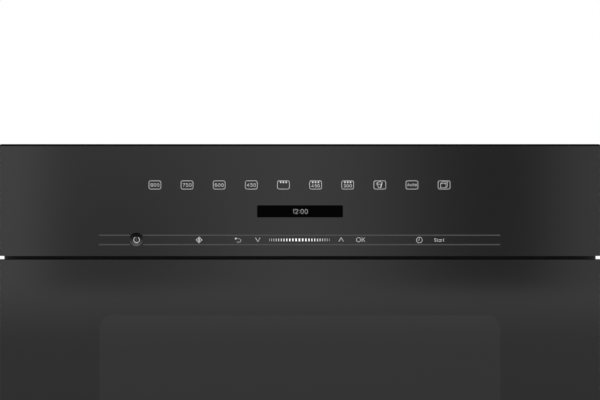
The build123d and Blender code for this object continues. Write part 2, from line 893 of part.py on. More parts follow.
# Transformer: a laminated core with two feet, and two coils round its middle leg
transformer_z = casing_sheet + core_foot_sheet + core_height / 2
leg_half = core_width / 2 - core_leg - core_window
with BuildPart() as transformer_core:
    with BuildSketch(front_plane(supply_y + core_stack / 2)):
        with Locations((transformer_across, transformer_z)):
            Rectangle(core_width, core_height)
            for side in (-1, 1):
                with Locations((side * (leg_half + core_window / 2), 0)):
                    Rectangle(core_window, core_height - 2 * core_leg, mode=Mode.SUBTRACT)
    extrude(amount=core_stack)
    with BuildSketch(level(casing_sheet)):
        with Locations((transformer_across, supply_y)):
            Rectangle(core_width + 2 * core_foot, core_stack)
    extrude(amount=core_foot_sheet)
write(transformer_core, "transformer_core")

window_low = transformer_z - core_height / 2 + core_leg
window_high = transformer_z + core_height / 2 - core_leg
coil_width = 2 * (leg_half + core_window - coil_gap)
coil_length = core_stack + 2 * (core_window - coil_gap)
with BuildPart() as transformer_coils:
    for coil_low in (window_low, window_high - coil_height):
        with BuildSketch(level(coil_low)):
            with Locations((transformer_across, supply_y)):
                RectangleRounded(coil_width, coil_length, core_window / 2)
                Rectangle(2 * (leg_half + coil_gap), core_stack + 2 * coil_gap, mode=Mode.SUBTRACT)
        extrude(amount=coil_height)
write(transformer_coils, "transformer_coils")

# Capacitor: an oval can with a rolled rim and two blade terminals
with BuildPart() as hv_capacitor:
    with BuildSketch(level(casing_sheet)):
        with Locations((capacitor_across, supply_y)):
            SlotOverall(capacitor_width, capacitor_thickness)
    extrude(amount=capacitor_height)
    with BuildSketch(level(casing_sheet + capacitor_height)):
        with Locations((capacitor_across, supply_y)):
            SlotOverall(capacitor_width, capacitor_thickness)
            SlotOverall(capacitor_width - 2 * capacitor_rim, capacitor_thickness - 2 * capacitor_rim,
                        mode=Mode.SUBTRACT)
    extrude(amount=capacitor_rim)
    with BuildSketch(level(casing_sheet + capacitor_height)):
        with Locations((capacitor_across, supply_y)):
            with GridLocations(capacitor_thickness / 2, 1, 2, 1):
                Rectangle(terminal_width, terminal_sheet)
    extrude(amount=blade_terminal)
write(hv_capacitor, "hv_capacitor")

# Diode: a round body lying on the base plate, with a screw lug at one end
with BuildPart() as hv_diode:
    diode_z = casing_sheet + diode_radius
    with BuildSketch(side_plane(diode_across)):
        with Locations((supply_y, diode_z)):
            Circle(diode_radius)
    extrude(amount=diode_length)
    with BuildSketch(level(casing_sheet)):
        with Locations((diode_across - diode_lug, supply_y)):
            SlotOverall(3 * diode_lug, 2 * diode_lug)
            Circle(diode_lug / 2, mode=Mode.SUBTRACT)
    extrude(amount=terminal_sheet)
write(hv_diode, "hv_diode")

# Power board: a circuit board on four standoffs, with relays, a filter coil and the terminal block
board_y = niche_edge + power_board_setback + power_board_length / 2
board_low = deck_top + standoff_height
board_top = board_low + board_thickness
with BuildPart() as power_board:
    with BuildSketch(level(board_low)):
        with Locations((power_board_across, board_y)):
            Rectangle(power_board_width, power_board_length)
    extrude(amount=board_thickness)
    with BuildSketch(level(deck_top)):
        with Locations((power_board_across, board_y)):
            with GridLocations(power_board_width - 2 * standoff_margin,
                               power_board_length - 2 * standoff_margin, 2, 2):
                Circle(standoff_radius)
    extrude(amount=standoff_height)
    with BuildSketch(level(board_top)):
        with Locations((power_board_across - power_board_width / 4, board_y)):
            with GridLocations(1, relay_pitch, 1, relay_count):
                Rectangle(relay_length, relay_width)
    extrude(amount=relay_height)
    with BuildSketch(level(board_top)):
        with Locations((power_board_across + power_board_width / 4, board_y - power_board_length / 4)):
            Circle(choke_coil_radius)
            Circle(choke_coil_bore, mode=Mode.SUBTRACT)
    extrude(amount=choke_coil_height)
    with BuildSketch(level(board_top)):
        with Locations((power_board_across + power_board_width / 4, board_y + power_board_length / 3)):
            Rectangle(terminal_block_length, terminal_block_width)
    extrude(amount=terminal_block_height)
write(power_board, "power_board")

# Turntable motor: a flat can under the cavity floor, held by two ears
turntable_place = (0, turntable_y)
with BuildPart() as turntable_motor:
    with BuildSketch(level(motor_top)):
        with Locations(turntable_place):
            Circle(motor_radius)
    extrude(amount=-motor_height)
    with BuildSketch(level(motor_top)):
        with Locations(turntable_place):
            SlotOverall(motor_ear_span, motor_ear_width)
    extrude(amount=-motor_ear_sheet)
    with BuildSketch(level(motor_top)):
        with Locations(turntable_place):
            Circle(stem_radius + running_gap)
    extrude(amount=-stem_depth - touch_gap, mode=Mode.SUBTRACT)
write(turntable_motor, "turntable_motor")

# Drive coupler: three arms under the tray on a stem that enters the motor
with BuildPart() as drive_coupler:
    with BuildSketch(level(track_z + touch_gap)):
        with Locations(turntable_place):
            for arm in range(coupler_arms):
                with Locations(Location((0, 0, 0), (0, 0, arm * 360 / coupler_arms))):
                    Rectangle(coupler_reach, coupler_arm, align=(Align.MIN, Align.CENTER))
            Circle(coupler_arm)
    extrude(amount=tray_gap - touch_gap)
    with BuildSketch(level(track_z + touch_gap)):
        with Locations(turntable_place):
            Circle(stem_radius)
    extrude(amount=-touch_gap - cavity_sheet - stem_depth)
write(drive_coupler, "drive_coupler")

# Glass tray: a dished disc, with three lugs below that the coupler's arms push round
flat_radius = tray_radius - tray_slope
with BuildPart() as glass_tray:
    with BuildSketch(front_plane(turntable_y)) as tray_profile:
        with BuildLine():
            rim_z = tray_low + tray_rim
            Polyline(
                (0, tray_low),
                (flat_radius, tray_low),
                (tray_radius, rim_z),
                (tray_radius, rim_z + tray_thickness),
                (tray_radius - tray_thickness / 2, rim_z + tray_thickness),
                (flat_radius - tray_thickness / 2, tray_low + tray_thickness),
                (0, tray_low + tray_thickness),
                close=True,
            )
        make_face()
        fillet(tray_profile.vertices().group_by(Axis.Y)[-1], tray_edge)
    revolve(axis=Axis((0, turntable_y, 0), (0, 0, 1)))
    with BuildSketch(level(tray_low)):
        with Locations(turntable_place):
            with PolarLocations(tray_lug_circle, coupler_arms, start_angle=180 / coupler_arms):
                Circle(tray_lug_radius)
    extrude(amount=-tray_lug_height)
write(glass_tray, "glass_tray")

# Roller ring: a flat ring with three radial pins, each with a cap that keeps its roller on
pin_length = roller_side_gap * 2 + roller_width + roller_cap
roller_turns = (90, 210, 330)


def spoke_plane(turn, radius):
    """The upright plane across a spoke of the roller ring, facing outward."""
    outward = Vector(cos(radians(turn)), sin(radians(turn)), 0)
    return Plane(Vector(0, turntable_y, roller_z) + outward * radius, x_dir=(0, 0, 1), z_dir=outward)


with BuildPart() as roller_ring:
    with BuildSketch(level(roller_z - ring_height / 2)):
        with Locations(turntable_place):
            Circle(ring_outer)
            Circle(ring_outer - ring_width, mode=Mode.SUBTRACT)
    extrude(amount=ring_height)
    for turn in roller_turns:
        with BuildSketch(spoke_plane(turn, ring_radius)):
            Circle(roller_pin_radius)
        extrude(amount=ring_width / 2 + pin_length)
        with BuildSketch(spoke_plane(turn, ring_outer + pin_length - roller_cap)):
            Circle(2 * roller_pin_radius)
        extrude(amount=roller_cap)
write(roller_ring, "roller_ring")

for number, turn in enumerate(roller_turns, start=1):
    with BuildPart() as roller:
        with BuildSketch(spoke_plane(turn, roller_middle - roller_width / 2)):
            Circle(roller_radius)
            Circle(roller_pin_radius + running_gap, mode=Mode.SUBTRACT)
        extrude(amount=roller_width)
    write(roller, f"roller_{number}")

# Fascia glass: a bevel along its top, eased sides, the dished on/off zone and the display window
dish_ball = (dish_diameter**2 / 4 + dish_depth**2) / (2 * dish_depth)
with BuildPart() as fascia_glass:
    with BuildSketch(side_plane(-front_half)):
        with BuildLine():
            Polyline(
                (glass_back, panel_low),
                (glass_front, panel_low),
                (glass_front, panel_top - panel_top_bevel),
                (glass_front + panel_top_bevel, panel_top),
                (glass_back, panel_top),
                close=True,
            )
        make_face()
    extrude(amount=2 * front_half)
    chamfer(fascia_glass.edges().filter_by(Axis.Z).group_by(Axis.Y)[0], glass_edge)
    with BuildSketch(front_plane(glass_back)) as fascia_outline:
        span(-front_half, front_half, panel_low, panel_top)
        fillet(fascia_outline.vertices().group_by(Axis.Y)[-1], glass_corner)
    extrude(amount=glass_thickness, mode=Mode.INTERSECT)
    with Locations((dish_x, glass_front + dish_depth - dish_ball, dish_z)):
        Sphere(dish_ball, mode=Mode.SUBTRACT)
    with BuildSketch(front_plane(glass_back)):
        with Locations((0, display_z)):
            RectangleRounded(display_width, display_height, display_corner)
    extrude(amount=glass_thickness, mode=Mode.SUBTRACT)
write(fascia_glass, "fascia_glass")

# Display module: its window fills the opening in the glass, its body sits behind
with BuildPart() as display_module:
    with BuildSketch(front_plane(glass_back)):
        with Locations((0, display_z)):
            RectangleRounded(display_width - 2 * running_gap, display_height - 2 * running_gap,
                             display_corner - running_gap)
    extrude(amount=glass_thickness - display_setback)
    with BuildSketch(front_plane(glass_back + display_module_depth)):
        with Locations((0, display_z)):
            Rectangle(display_width + 2 * display_module_margin, display_height + 2 * display_module_margin)
    extrude(amount=display_module_depth)
write(display_module, "display_module")

# Touch board: lies against the glass round the display, with a chip and a plug socket on its back
board_half = touch_board_width / 2
chip_across = board_half / 2 + touch_board_height / 4
with BuildPart() as touch_board:
    with BuildSketch(front_plane(glass_back + board_thickness)):
        with Locations((0, panel_middle)):
            Rectangle(touch_board_width, touch_board_height)
        with Locations((0, display_z)):
            Rectangle(display_width + 2 * display_module_margin + 2 * fit_gap,
                      display_height + 2 * display_module_margin + 2 * fit_gap, mode=Mode.SUBTRACT)
    extrude(amount=board_thickness)
    with BuildSketch(front_plane(glass_back + board_thickness)):
        with Locations((chip_across, panel_middle)):
            Rectangle(socket_length, socket_height)
        with Locations((-chip_across, panel_middle)):
            Rectangle(socket_length / 2, socket_length / 2)
    extrude(amount=-socket_height / 2)
write(touch_board, "touch_board")

# Fascia carrier: a moulded tray behind the glass, with ribs that back the board and windows for the wiring.
# Its skirt closes the view through the gap above the door.
carrier_half = front_half - carrier_inset
carrier_low = panel_low + carrier_inset
carrier_high = panel_top - carrier_inset
carrier_floor = frame_front - carrier_wall
rib_front = glass_back + board_thickness
skirt_low = door_top - frame_inset + skirt_gap
with BuildPart() as fascia_carrier:
    with BuildSketch(front_plane(frame_front)):
        span(-carrier_half, carrier_half, carrier_low, carrier_high)
    extrude(amount=frame_front - glass_back)
    with BuildSketch(front_plane(frame_front)):
        span(-carrier_half, carrier_half, skirt_low, carrier_low + carrier_wall)
    extrude(amount=carrier_wall)
    with BuildSketch(front_plane(carrier_floor)):
        span(-carrier_half + carrier_wall, carrier_half - carrier_wall, carrier_low + carrier_wall,
             carrier_high - carrier_wall)
    extrude(amount=carrier_floor - glass_back, mode=Mode.SUBTRACT)
    with BuildSketch(front_plane(carrier_floor)):
        for side in (-1, 1):
            for across in (board_half / 3, board_half - carrier_rib):
                with Locations((side * across, panel_middle)):
                    Rectangle(carrier_rib, carrier_high - carrier_low - carrier_wall)
    extrude(amount=carrier_floor - rib_front)
    with BuildSketch(front_plane(frame_front)):
        for side in (-1, 1):
            with Locations((side * wire_window_across, panel_middle)):
                Rectangle(wire_window_width - 2 * carrier_wall, wire_window_height - 2 * carrier_wall)
    extrude(amount=carrier_wall, mode=Mode.SUBTRACT)
write(fascia_carrier, "fascia_carrier")

# Door glass
with BuildPart() as door_glass:
    with BuildSketch(front_plane(glass_back)):
        span(-front_half, front_half, door_bottom, door_top)
    extrude(amount=glass_thickness)
    corners = door_glass.edges().filter_by(Axis.Y)
    fillet(corners.group_by(Axis.Z)[0], glass_corner)
    chamfer(door_glass.faces().sort_by(Axis.Y)[0].edges(), glass_edge)
write(door_glass, "door_glass")

# Door frame: a hollow moulding behind the glass, with the latch bearings, hook slots and hinge notches
frame_base = door_bottom + frame_inset
frame_top = door_top - frame_inset
window_half = choke_half + fit_gap
window_bottom = choke_low - fit_gap
window_top = choke_high + fit_gap
hollow_back = door_back - frame_wall
leaf_half = hinge_lug / 2 + fit_gap + hinge_ear
hinge_notch_half = leaf_half + fit_gap
hinge_notch_top = hinge_z + hinge_leaf_height
bearing_out = hook_width / 2 + fit_gap + bearing_thickness / 2
with BuildPart() as door_frame:
    with BuildSketch(front_plane(door_back)):
        span(-door_half, door_half, frame_base, frame_top)
        span(-window_half, window_half, window_bottom, window_top, mode=Mode.SUBTRACT)
    extrude(amount=door_core)
    with BuildSketch(front_plane(hollow_back)):
        span(-door_half + frame_wall, door_half - frame_wall, frame_base + frame_wall,
             frame_top - frame_wall)
        span(-window_half - frame_wall, window_half + frame_wall, window_bottom - frame_wall,
             window_top + frame_wall, mode=Mode.SUBTRACT)
    extrude(amount=door_core - frame_wall, mode=Mode.SUBTRACT)
    for side in (-1, 1):
        for out in (-bearing_out, bearing_out):
            bearing_x = side * latch_across + out
            with BuildSketch(front_plane(hollow_back)):
                span(bearing_x - bearing_thickness / 2, bearing_x + bearing_thickness / 2,
                     latch_z - bearing_drop, frame_top - frame_wall)
            extrude(amount=door_core - frame_wall)
        with BuildSketch(front_plane(door_back)):
            hook_x = side * latch_across
            span(hook_x - hook_width / 2 - fit_gap, hook_x + hook_width / 2 + fit_gap,
                 hook_slot_low - hook_slot_rise, frame_top - frame_wall)
        extrude(amount=frame_wall, mode=Mode.SUBTRACT)
        with BuildSketch(front_plane(door_back)):
            hinge_x = side * hinge_across
            span(hinge_x - hinge_notch_half - frame_wall, hinge_x + hinge_notch_half + frame_wall,
                 frame_base, hinge_notch_top + frame_wall)
        extrude(amount=door_core)
        with BuildSketch(front_plane(door_back)):
            span(hinge_x - hinge_notch_half, hinge_x + hinge_notch_half, frame_base, hinge_notch_top)
        extrude(amount=door_core, mode=Mode.SUBTRACT)
    with BuildSketch(side_plane(-door_half)):
        with Locations((latch_y, latch_z)):
            Circle(rod_radius + running_gap)
    extrude(amount=2 * door_half - frame_wall, mode=Mode.SUBTRACT)
write(door_frame, "door_frame")

# Choke: a ring channel round the window, open to the oven, with slots along its outer wall
choke_back = door_back - cover_thickness
choke_middle = (choke_low + choke_high) / 2
choke_tall = choke_high - choke_low
across_slots = int(2 * choke_half / choke_pitch) - 1
upright_slots = int(choke_tall / choke_pitch) - 1
with BuildPart() as choke_frame:
    with BuildSketch(front_plane(choke_back)):
        span(-choke_half, choke_half, choke_low, choke_high)
        span(-cavity_half, cavity_half, floor_height, cavity_top, mode=Mode.SUBTRACT)
    extrude(amount=choke_back - glass_back)
    with BuildSketch(front_plane(choke_back)):
        span(-choke_half + choke_sheet, choke_half - choke_sheet, choke_low + choke_sheet,
             choke_high - choke_sheet)
        span(-cavity_half - choke_sheet, cavity_half + choke_sheet, floor_height - choke_sheet,
             cavity_top + choke_sheet, mode=Mode.SUBTRACT)
    extrude(amount=choke_back - glass_back - choke_sheet, mode=Mode.SUBTRACT)
    with BuildSketch(front_plane(choke_back)):
        with Locations((0, choke_middle)):
            with GridLocations(choke_pitch, choke_tall - choke_sheet, across_slots, 2):
                Rectangle(choke_slot, choke_sheet)
            with GridLocations(2 * choke_half - choke_sheet, choke_pitch, 2, upright_slots):
                Rectangle(choke_sheet, choke_slot)
    extrude(amount=choke_slot_depth, mode=Mode.SUBTRACT)
write(choke_frame, "choke_frame")

# Choke cover: a flat moulded ring that closes the channel
with BuildPart() as choke_cover:
    with BuildSketch(front_plane(door_back)):
        with Locations((0, choke_middle)):
            Rectangle(2 * choke_half, choke_tall)
            RectangleRounded(cavity_width, cavity_height, mouth_radius, mode=Mode.SUBTRACT)
    extrude(amount=cover_thickness)
    chamfer(choke_cover.faces().sort_by(Axis.Y)[-1].outer_wire().edges(), cover_thickness / 2)
write(choke_cover, "choke_cover")

# Door window: a steel screen and a glass pane behind it, both inside the choke ring
pane_half = cavity_half - fit_gap
pane_low = floor_height + fit_gap
pane_high = cavity_top - fit_gap
screen_back = glass_back + screen_setback + screen_sheet
with BuildPart() as door_screen:
    with BuildSketch(front_plane(screen_back)):
        span(-pane_half, pane_half, pane_low, pane_high)
    extrude(amount=screen_sheet)
write(door_screen, "door_screen")

with BuildPart() as door_inner_glass:
    with BuildSketch(front_plane(screen_back + inner_glass)):
        span(-pane_half, pane_half, pane_low, pane_high)
    extrude(amount=inner_glass)
    chamfer(door_inner_glass.faces().sort_by(Axis.Y)[-1].edges(), glass_edge)
write(door_inner_glass, "door_inner_glass")

# Hinge brackets: an eye on an arm that reaches out under the front frame, on a foot screwed to the base
arm_back = hinge_y + hinge_arm
foot_front = base_front + swing_gap
with BuildPart() as hinge_bracket:
    with BuildSketch(side_plane(hinge_across)):
        with Locations((hinge_y, hinge_z)):
            Circle(hinge_eye_radius)
        span(hinge_y, arm_back, hinge_z - hinge_eye_radius, hinge_z + hinge_eye_radius)
        span(foot_front, arm_back, casing_sheet, hinge_z)
        with Locations((hinge_y, hinge_z)):
            Circle(hinge_pin_radius + running_gap, mode=Mode.SUBTRACT)
    extrude(amount=hinge_lug / 2, both=True)
    with BuildSketch(level(casing_sheet)):
        span(hinge_across - hinge_foot_width, hinge_across, foot_front, arm_back)
        with Locations((hinge_across - hinge_foot_width / 2, (foot_front + arm_back) / 2)):
            with GridLocations(1, hinge_arm / 3, 1, 2):
                Circle(fixing_hole / 2, mode=Mode.SUBTRACT)
    extrude(amount=hinge_foot_sheet)
write_pair(hinge_bracket, "hinge_bracket")

# Hinge leaves: two ears beside the bracket's eye, joined by a bridge in the door and by the riveted pin
with BuildPart() as hinge_leaf:
    for ear_x in (hinge_across - leaf_half, hinge_across + leaf_half - hinge_ear):
        with BuildSketch(side_plane(ear_x)):
            with Locations((hinge_y, hinge_z)):
                Circle(hinge_ear_radius)
            span(hinge_y - hinge_ear_radius, hinge_y + hinge_ear_radius, hinge_z, hinge_notch_top)
        extrude(amount=hinge_ear)
    with BuildSketch(side_plane(hinge_across - leaf_half)):
        span(hinge_y - hinge_ear_radius, hinge_y + hinge_ear_radius, hinge_notch_top - hinge_bridge,
             hinge_notch_top)
        with Locations((hinge_y, hinge_z)):
            Circle(hinge_pin_radius)
    extrude(amount=2 * leaf_half)
write_pair(hinge_leaf, "hinge_leaf")

# Latch rod
rod_half = latch_across + bearing_out + bearing_thickness
with BuildPart() as latch_rod:
    with BuildSketch(side_plane(-rod_half)):
        with Locations((latch_y, latch_z)):
            Circle(rod_radius)
    extrude(amount=2 * rod_half)
write(latch_rod, "latch_rod")

# Latch hooks: an arm from the rod through the front frame, with a barb below its sloped nose
with BuildPart() as latch_hook:
    with BuildSketch(side_plane(latch_across)):
        barb_y = latch_y + barb_start
        with BuildLine():
            Polyline(
                (latch_y, latch_z + hook_half),
                (barb_y + barb_length, latch_z + hook_half),
                (barb_y + barb_length + nose_length, latch_z),
                (barb_y + barb_length, latch_z - hook_drop),
                (barb_y, latch_z - hook_drop),
                (barb_y, latch_z - hook_half),
                (latch_y, latch_z - hook_half),
            )
            ThreePointArc(
                (latch_y, latch_z - hook_half),
                (latch_y - hook_half, latch_z),
                (latch_y, latch_z + hook_half),
            )
        make_face()
        with Locations((latch_y, latch_z)):
            Circle(rod_radius + running_gap, mode=Mode.SUBTRACT)
    extrude(amount=hook_width / 2, both=True)
write_pair(latch_hook, "latch_hook")

# Interlock brackets: a plate behind the front frame with a shelf for the switches, stiffened at both sides
shelf_low = shelf_top - bracket_wall
shelf_back = niche_edge + bracket_length
bracket_top = hook_slot_high + bracket_wall
with BuildPart() as interlock_bracket:
    with BuildSketch(side_plane(latch_across - bracket_inboard)):
        span(niche_edge, niche_edge + bracket_wall, shelf_low, bracket_top)
        span(niche_edge, shelf_back, shelf_low, shelf_top)
    extrude(amount=bracket_inboard + bracket_outboard)
    for rib_x in (latch_across - bracket_inboard, latch_across + bracket_outboard - bracket_wall):
        with BuildSketch(side_plane(rib_x)):
            with BuildLine():
                Polyline((niche_edge, shelf_low), (shelf_back, shelf_low), (niche_edge, bracket_top),
                         close=True)
            make_face()
        extrude(amount=bracket_wall)
    with BuildSketch(front_plane(niche_edge + bracket_wall)):
        span(latch_across - hook_slot_half, latch_across + hook_slot_half, hook_slot_low, hook_slot_high)
    extrude(amount=bracket_wall, mode=Mode.SUBTRACT)
write_pair(interlock_bracket, "interlock_bracket")

# Door switches: two under the right hook and one under the left, each with its plunger's bore and two tabs
switch_places = (latch_across - switch_offset, latch_across + switch_offset, -latch_across - switch_offset)
plunger_bore = plunger_depth + plunger_travel + touch_gap
with BuildPart() as door_switches:
    for switch_x in switch_places:
        with BuildSketch(level(shelf_top)):
            span(switch_x - switch_width / 2, switch_x + switch_width / 2, switch_front,
                 switch_front + switch_length)
        extrude(amount=switch_height)
        for tab_z in (shelf_top + switch_height / 4, shelf_top + switch_height / 2):
            with BuildSketch(front_plane(switch_front + switch_length)):
                with Locations((switch_x, tab_z)):
                    Rectangle(terminal_width, terminal_sheet)
            extrude(amount=-terminal_length)
        with BuildSketch(level(switch_top)):
            with Locations((switch_x, plunger_y)):
                Circle(plunger_radius + running_gap)
        extrude(amount=-plunger_bore, mode=Mode.SUBTRACT)
write(door_switches, "door_switches")

with BuildPart() as switch_plungers:
    for switch_x in switch_places:
        with BuildSketch(level(plunger_top)):
            with Locations((switch_x, plunger_y)):
                Circle(plunger_radius)
        extrude(amount=-plunger_rise - plunger_depth)
write(switch_plungers, "switch_plungers")

# Release solenoid: a coil block beside the left switch, whose pin lifts the left hook
solenoid_left = -latch_across + touch_gap
pin_x = solenoid_left + switch_offset
with BuildPart() as release_solenoid:
    with BuildSketch(level(shelf_top)):
        span(solenoid_left, solenoid_left + solenoid_width, switch_front, switch_front + switch_length)
    extrude(amount=switch_height)
    fillet(release_solenoid.edges().filter_by(Axis.Z), solenoid_corner)
    with BuildSketch(level(switch_top)):
        with Locations((pin_x, plunger_y)):
            Circle(pin_radius + running_gap)
    extrude(amount=-plunger_bore, mode=Mode.SUBTRACT)
write(release_solenoid, "release_solenoid")

with BuildPart() as release_pin:
    with BuildSketch(level(plunger_top)):
        with Locations((pin_x, plunger_y)):
            Circle(pin_radius)
    extrude(amount=-plunger_rise - plunger_depth)
write(release_pin, "release_pin")
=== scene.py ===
import json
from math import cos, hypot, pi, radians, sin, sqrt

import bmesh
import bpy
from mathutils import Matrix, Vector


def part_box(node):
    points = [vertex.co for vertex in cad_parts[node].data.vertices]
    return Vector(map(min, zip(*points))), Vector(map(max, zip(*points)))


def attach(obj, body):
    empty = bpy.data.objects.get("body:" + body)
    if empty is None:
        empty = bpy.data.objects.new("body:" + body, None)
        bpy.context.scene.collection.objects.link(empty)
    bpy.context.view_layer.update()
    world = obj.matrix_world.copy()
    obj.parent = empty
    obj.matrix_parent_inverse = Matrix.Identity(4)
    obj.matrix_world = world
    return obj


# The looks of a built-in microwave oven. Lengths are metres, unless a name ends in _MM.
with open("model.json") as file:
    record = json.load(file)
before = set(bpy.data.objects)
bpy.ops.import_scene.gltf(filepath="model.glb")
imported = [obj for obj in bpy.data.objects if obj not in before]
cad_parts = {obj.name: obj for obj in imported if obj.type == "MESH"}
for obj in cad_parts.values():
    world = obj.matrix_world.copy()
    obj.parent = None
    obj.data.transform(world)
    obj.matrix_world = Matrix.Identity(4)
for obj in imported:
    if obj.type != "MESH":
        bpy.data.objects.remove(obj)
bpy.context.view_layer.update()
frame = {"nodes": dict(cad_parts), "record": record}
nodes = frame["nodes"]
MM = 0.001

# Places on the fascia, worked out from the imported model
fascia_low, fascia_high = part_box("fascia_glass")
GLASS_FRONT = fascia_low.y
FASCIA_MIDDLE = (fascia_low.z + fascia_high.z) / 2
FASCIA_WIDTH = fascia_high.x - fascia_low.x
DISPLAY_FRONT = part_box("display_module")[0].y

# The mix node's colour inputs and output by number, because their names repeat for each kind of data
MIX_COLOURS = (6, 7)
MIX_RESULT = 2

# A texture that isn't stretched, and the depth of fine grain
EVEN = (1, 1, 1)
GRAIN_DEPTH = 0.1 * MM


class Graph:
    """A node tree that is built one call at a time. A value is a number or another node's output."""

    def __init__(self, tree):
        self.tree = tree

    def add(self, kind, **settings):
        node = self.tree.nodes.new(kind)
        for label, value in settings.items():
            setattr(node, label, value)
        return node

    def feed(self, socket, value):
        if isinstance(value, bpy.types.NodeSocket):
            self.tree.links.new(value, socket)
        else:
            socket.default_value = value

    def axes(self, vector):
        """The outputs X, Y and Z of a vector."""
        parts = self.add("ShaderNodeSeparateXYZ")
        self.feed(parts.inputs["Vector"], vector)
        return parts.outputs

    def math(self, operation, *values):
        node = self.add("ShaderNodeMath", operation=operation)
        for socket, value in zip(node.inputs, values):
            self.feed(socket, value)
        return node.outputs[0]

    def between(self, source, low=0.0, high=1.0, start=0.0, end=1.0, curve="LINEAR"):
        """source, carried from start…end to low…high."""
        remap = self.add("ShaderNodeMapRange", interpolation_type=curve)
        limits = {"From Min": start, "From Max": end, "To Min": low, "To Max": high}
        for label, value in limits.items():
            remap.inputs[label].default_value = value
        self.feed(remap.inputs["Value"], source)
        return remap.outputs["Result"]


class Finish(Graph):
    """A material whose textures lie on the object's own coordinates."""

    def __init__(self, name, **sockets):
        self.material = bpy.data.materials.new(name)
        self.material.use_nodes = True
        super().__init__(self.material.node_tree)
        self.shader = self.tree.nodes["Principled BSDF"]
        self.place = self.add("ShaderNodeTexCoord").outputs["Object"]
        for label, value in sockets.items():
            self.socket(label).default_value = value

    def socket(self, label):
        """The shader's socket: base_color stands for Base Color, and ior for IOR."""
        names = {"ior": "IOR", "specular": "Specular IOR Level"}
        return self.shader.inputs[names.get(label, label.replace("_", " ").title())]

    def texture(self, kind, stretch, numbers, **settings):
        """A texture's outputs. The coordinates are multiplied by stretch along X, Y and Z."""
        texture = self.add(kind, **settings)
        for label, value in numbers.items():
            texture.inputs[label].default_value = value
        mapping = self.add("ShaderNodeMapping")
        mapping.inputs["Scale"].default_value = stretch
        self.feed(mapping.inputs["Vector"], self.place)
        self.feed(texture.inputs["Vector"], mapping.outputs["Vector"])
        return texture.outputs

    def noise(self, scale, stretch=EVEN, detail=3.0):
        return self.texture("ShaderNodeTexNoise", stretch, {"Scale": scale, "Detail": detail})["Fac"]

    def cells(self, scale, stretch=EVEN, output="Color", randomness=1.0):
        numbers = {"Scale": scale, "Randomness": randomness}
        return self.texture("ShaderNodeTexVoronoi", stretch, numbers)[output]

    def soft_cells(self, scale, smoothness):
        numbers = {"Scale": scale, "Smoothness": smoothness}
        return self.texture("ShaderNodeTexVoronoi", EVEN, numbers, feature="SMOOTH_F1")["Color"]

    def waves(self, scale, direction, distortion=0.0):
        numbers = {"Scale": scale, "Distortion": distortion}
        return self.texture("ShaderNodeTexWave", EVEN, numbers, bands_direction=direction)["Fac"]

    def mix(self, share, first, second):
        """first where share is 0 and second where it is 1. Each is a colour or another node's output."""
        node = self.add("ShaderNodeMix", data_type="RGBA")
        self.feed(node.inputs["Factor"], share)
        for number, value in zip(MIX_COLOURS, (first, second)):
            self.feed(node.inputs[number], (*value, 1.0) if isinstance(value, tuple) else value)
        return node.outputs[MIX_RESULT]

    def colour(self, source):
        self.feed(self.socket("base_color"), source)
        return self

    def rough(self, source, low, high):
        self.feed(self.socket("roughness"), self.between(source, low, high))
        return self

    def bump(self, source, strength, depth=GRAIN_DEPTH):
        node = self.add("ShaderNodeBump")
        node.inputs["Strength"].default_value = strength
        node.inputs["Distance"].default_value = depth
        self.feed(node.inputs["Height"], source)
        self.feed(self.socket("normal"), node.outputs["Normal"])
        return self


def grey(value):
    return (value, value, value)


# Black glass of the fascia and the door
GLASS_IOR = 1.5
GLASS_GLOSS = {"low": 0.06, "high": 0.09}


def glass_black(finish):
    """The black behind the glass, with a trace of grain."""
    return finish.mix(finish.noise(scale=2200.0), grey(0.0012), grey(0.0022))


def glass_haze(finish):
    """Where a wiped panel is more or less glossy."""
    return finish.noise(scale=9.0, detail=4.0)


def black_glass():
    """Black glass with a satin face: only its gloss varies, as on a wiped panel."""
    finish = Finish("black_glass", ior=GLASS_IOR)
    finish.colour(glass_black(finish))
    return finish.rough(glass_haze(finish), **GLASS_GLOSS).material


def display_black():
    """The display's window: deep black, with hardly any reflection."""
    finish = Finish("display_black", specular=0.01, roughness=0.45)
    grain = finish.noise(scale=1800.0)
    return finish.colour(finish.mix(grain, grey(0.0006), grey(0.0010))).material


# Shares of a tone where a finish is darker or paler than it
INK_SHADES = (0.94, 1.05)
LIT_SHADE = (0.93, 0.95, 1.0)
STREAK_SHADE = 0.93
PLASTIC_SHADES = (0.85, 1.15)


def ink(name, value):
    """A screen print, a little uneven like dried ink."""
    finish = Finish(name, specular=0.3)
    grain = finish.noise(scale=1500.0)
    dark, pale = [grey(value * shade) for shade in INK_SHADES]
    finish.colour(finish.mix(grain, dark, pale))
    return finish.rough(grain, low=0.45, high=0.55).material


def lit_ink(name, value, strength):
    """A mark that is lit from behind."""
    finish = Finish(name, specular=0.1, roughness=0.5, emission_strength=strength)
    grain = finish.noise(scale=900.0)
    dim = tuple(value * shade for shade in LIT_SHADE)
    tone = finish.mix(grain, dim, grey(value))
    finish.feed(finish.socket("emission_color"), tone)
    return finish.colour(tone).material


def brushed(name, tone, stretch, low, high, depth=GRAIN_DEPTH):
    """Brushed metal: fine streaks along the axis whose stretch is small, and gloss from low to high."""
    finish = Finish(name, metallic=1.0)
    streak = finish.noise(scale=1.0, stretch=stretch, detail=5.0)
    cloud = finish.noise(scale=14.0)
    dark = tuple(STREAK_SHADE * part for part in tone)
    finish.colour(finish.mix(streak, dark, tone))
    finish.rough(finish.math("MULTIPLY", streak, cloud), low, high)
    return finish.bump(streak, strength=0.10, depth=depth).material


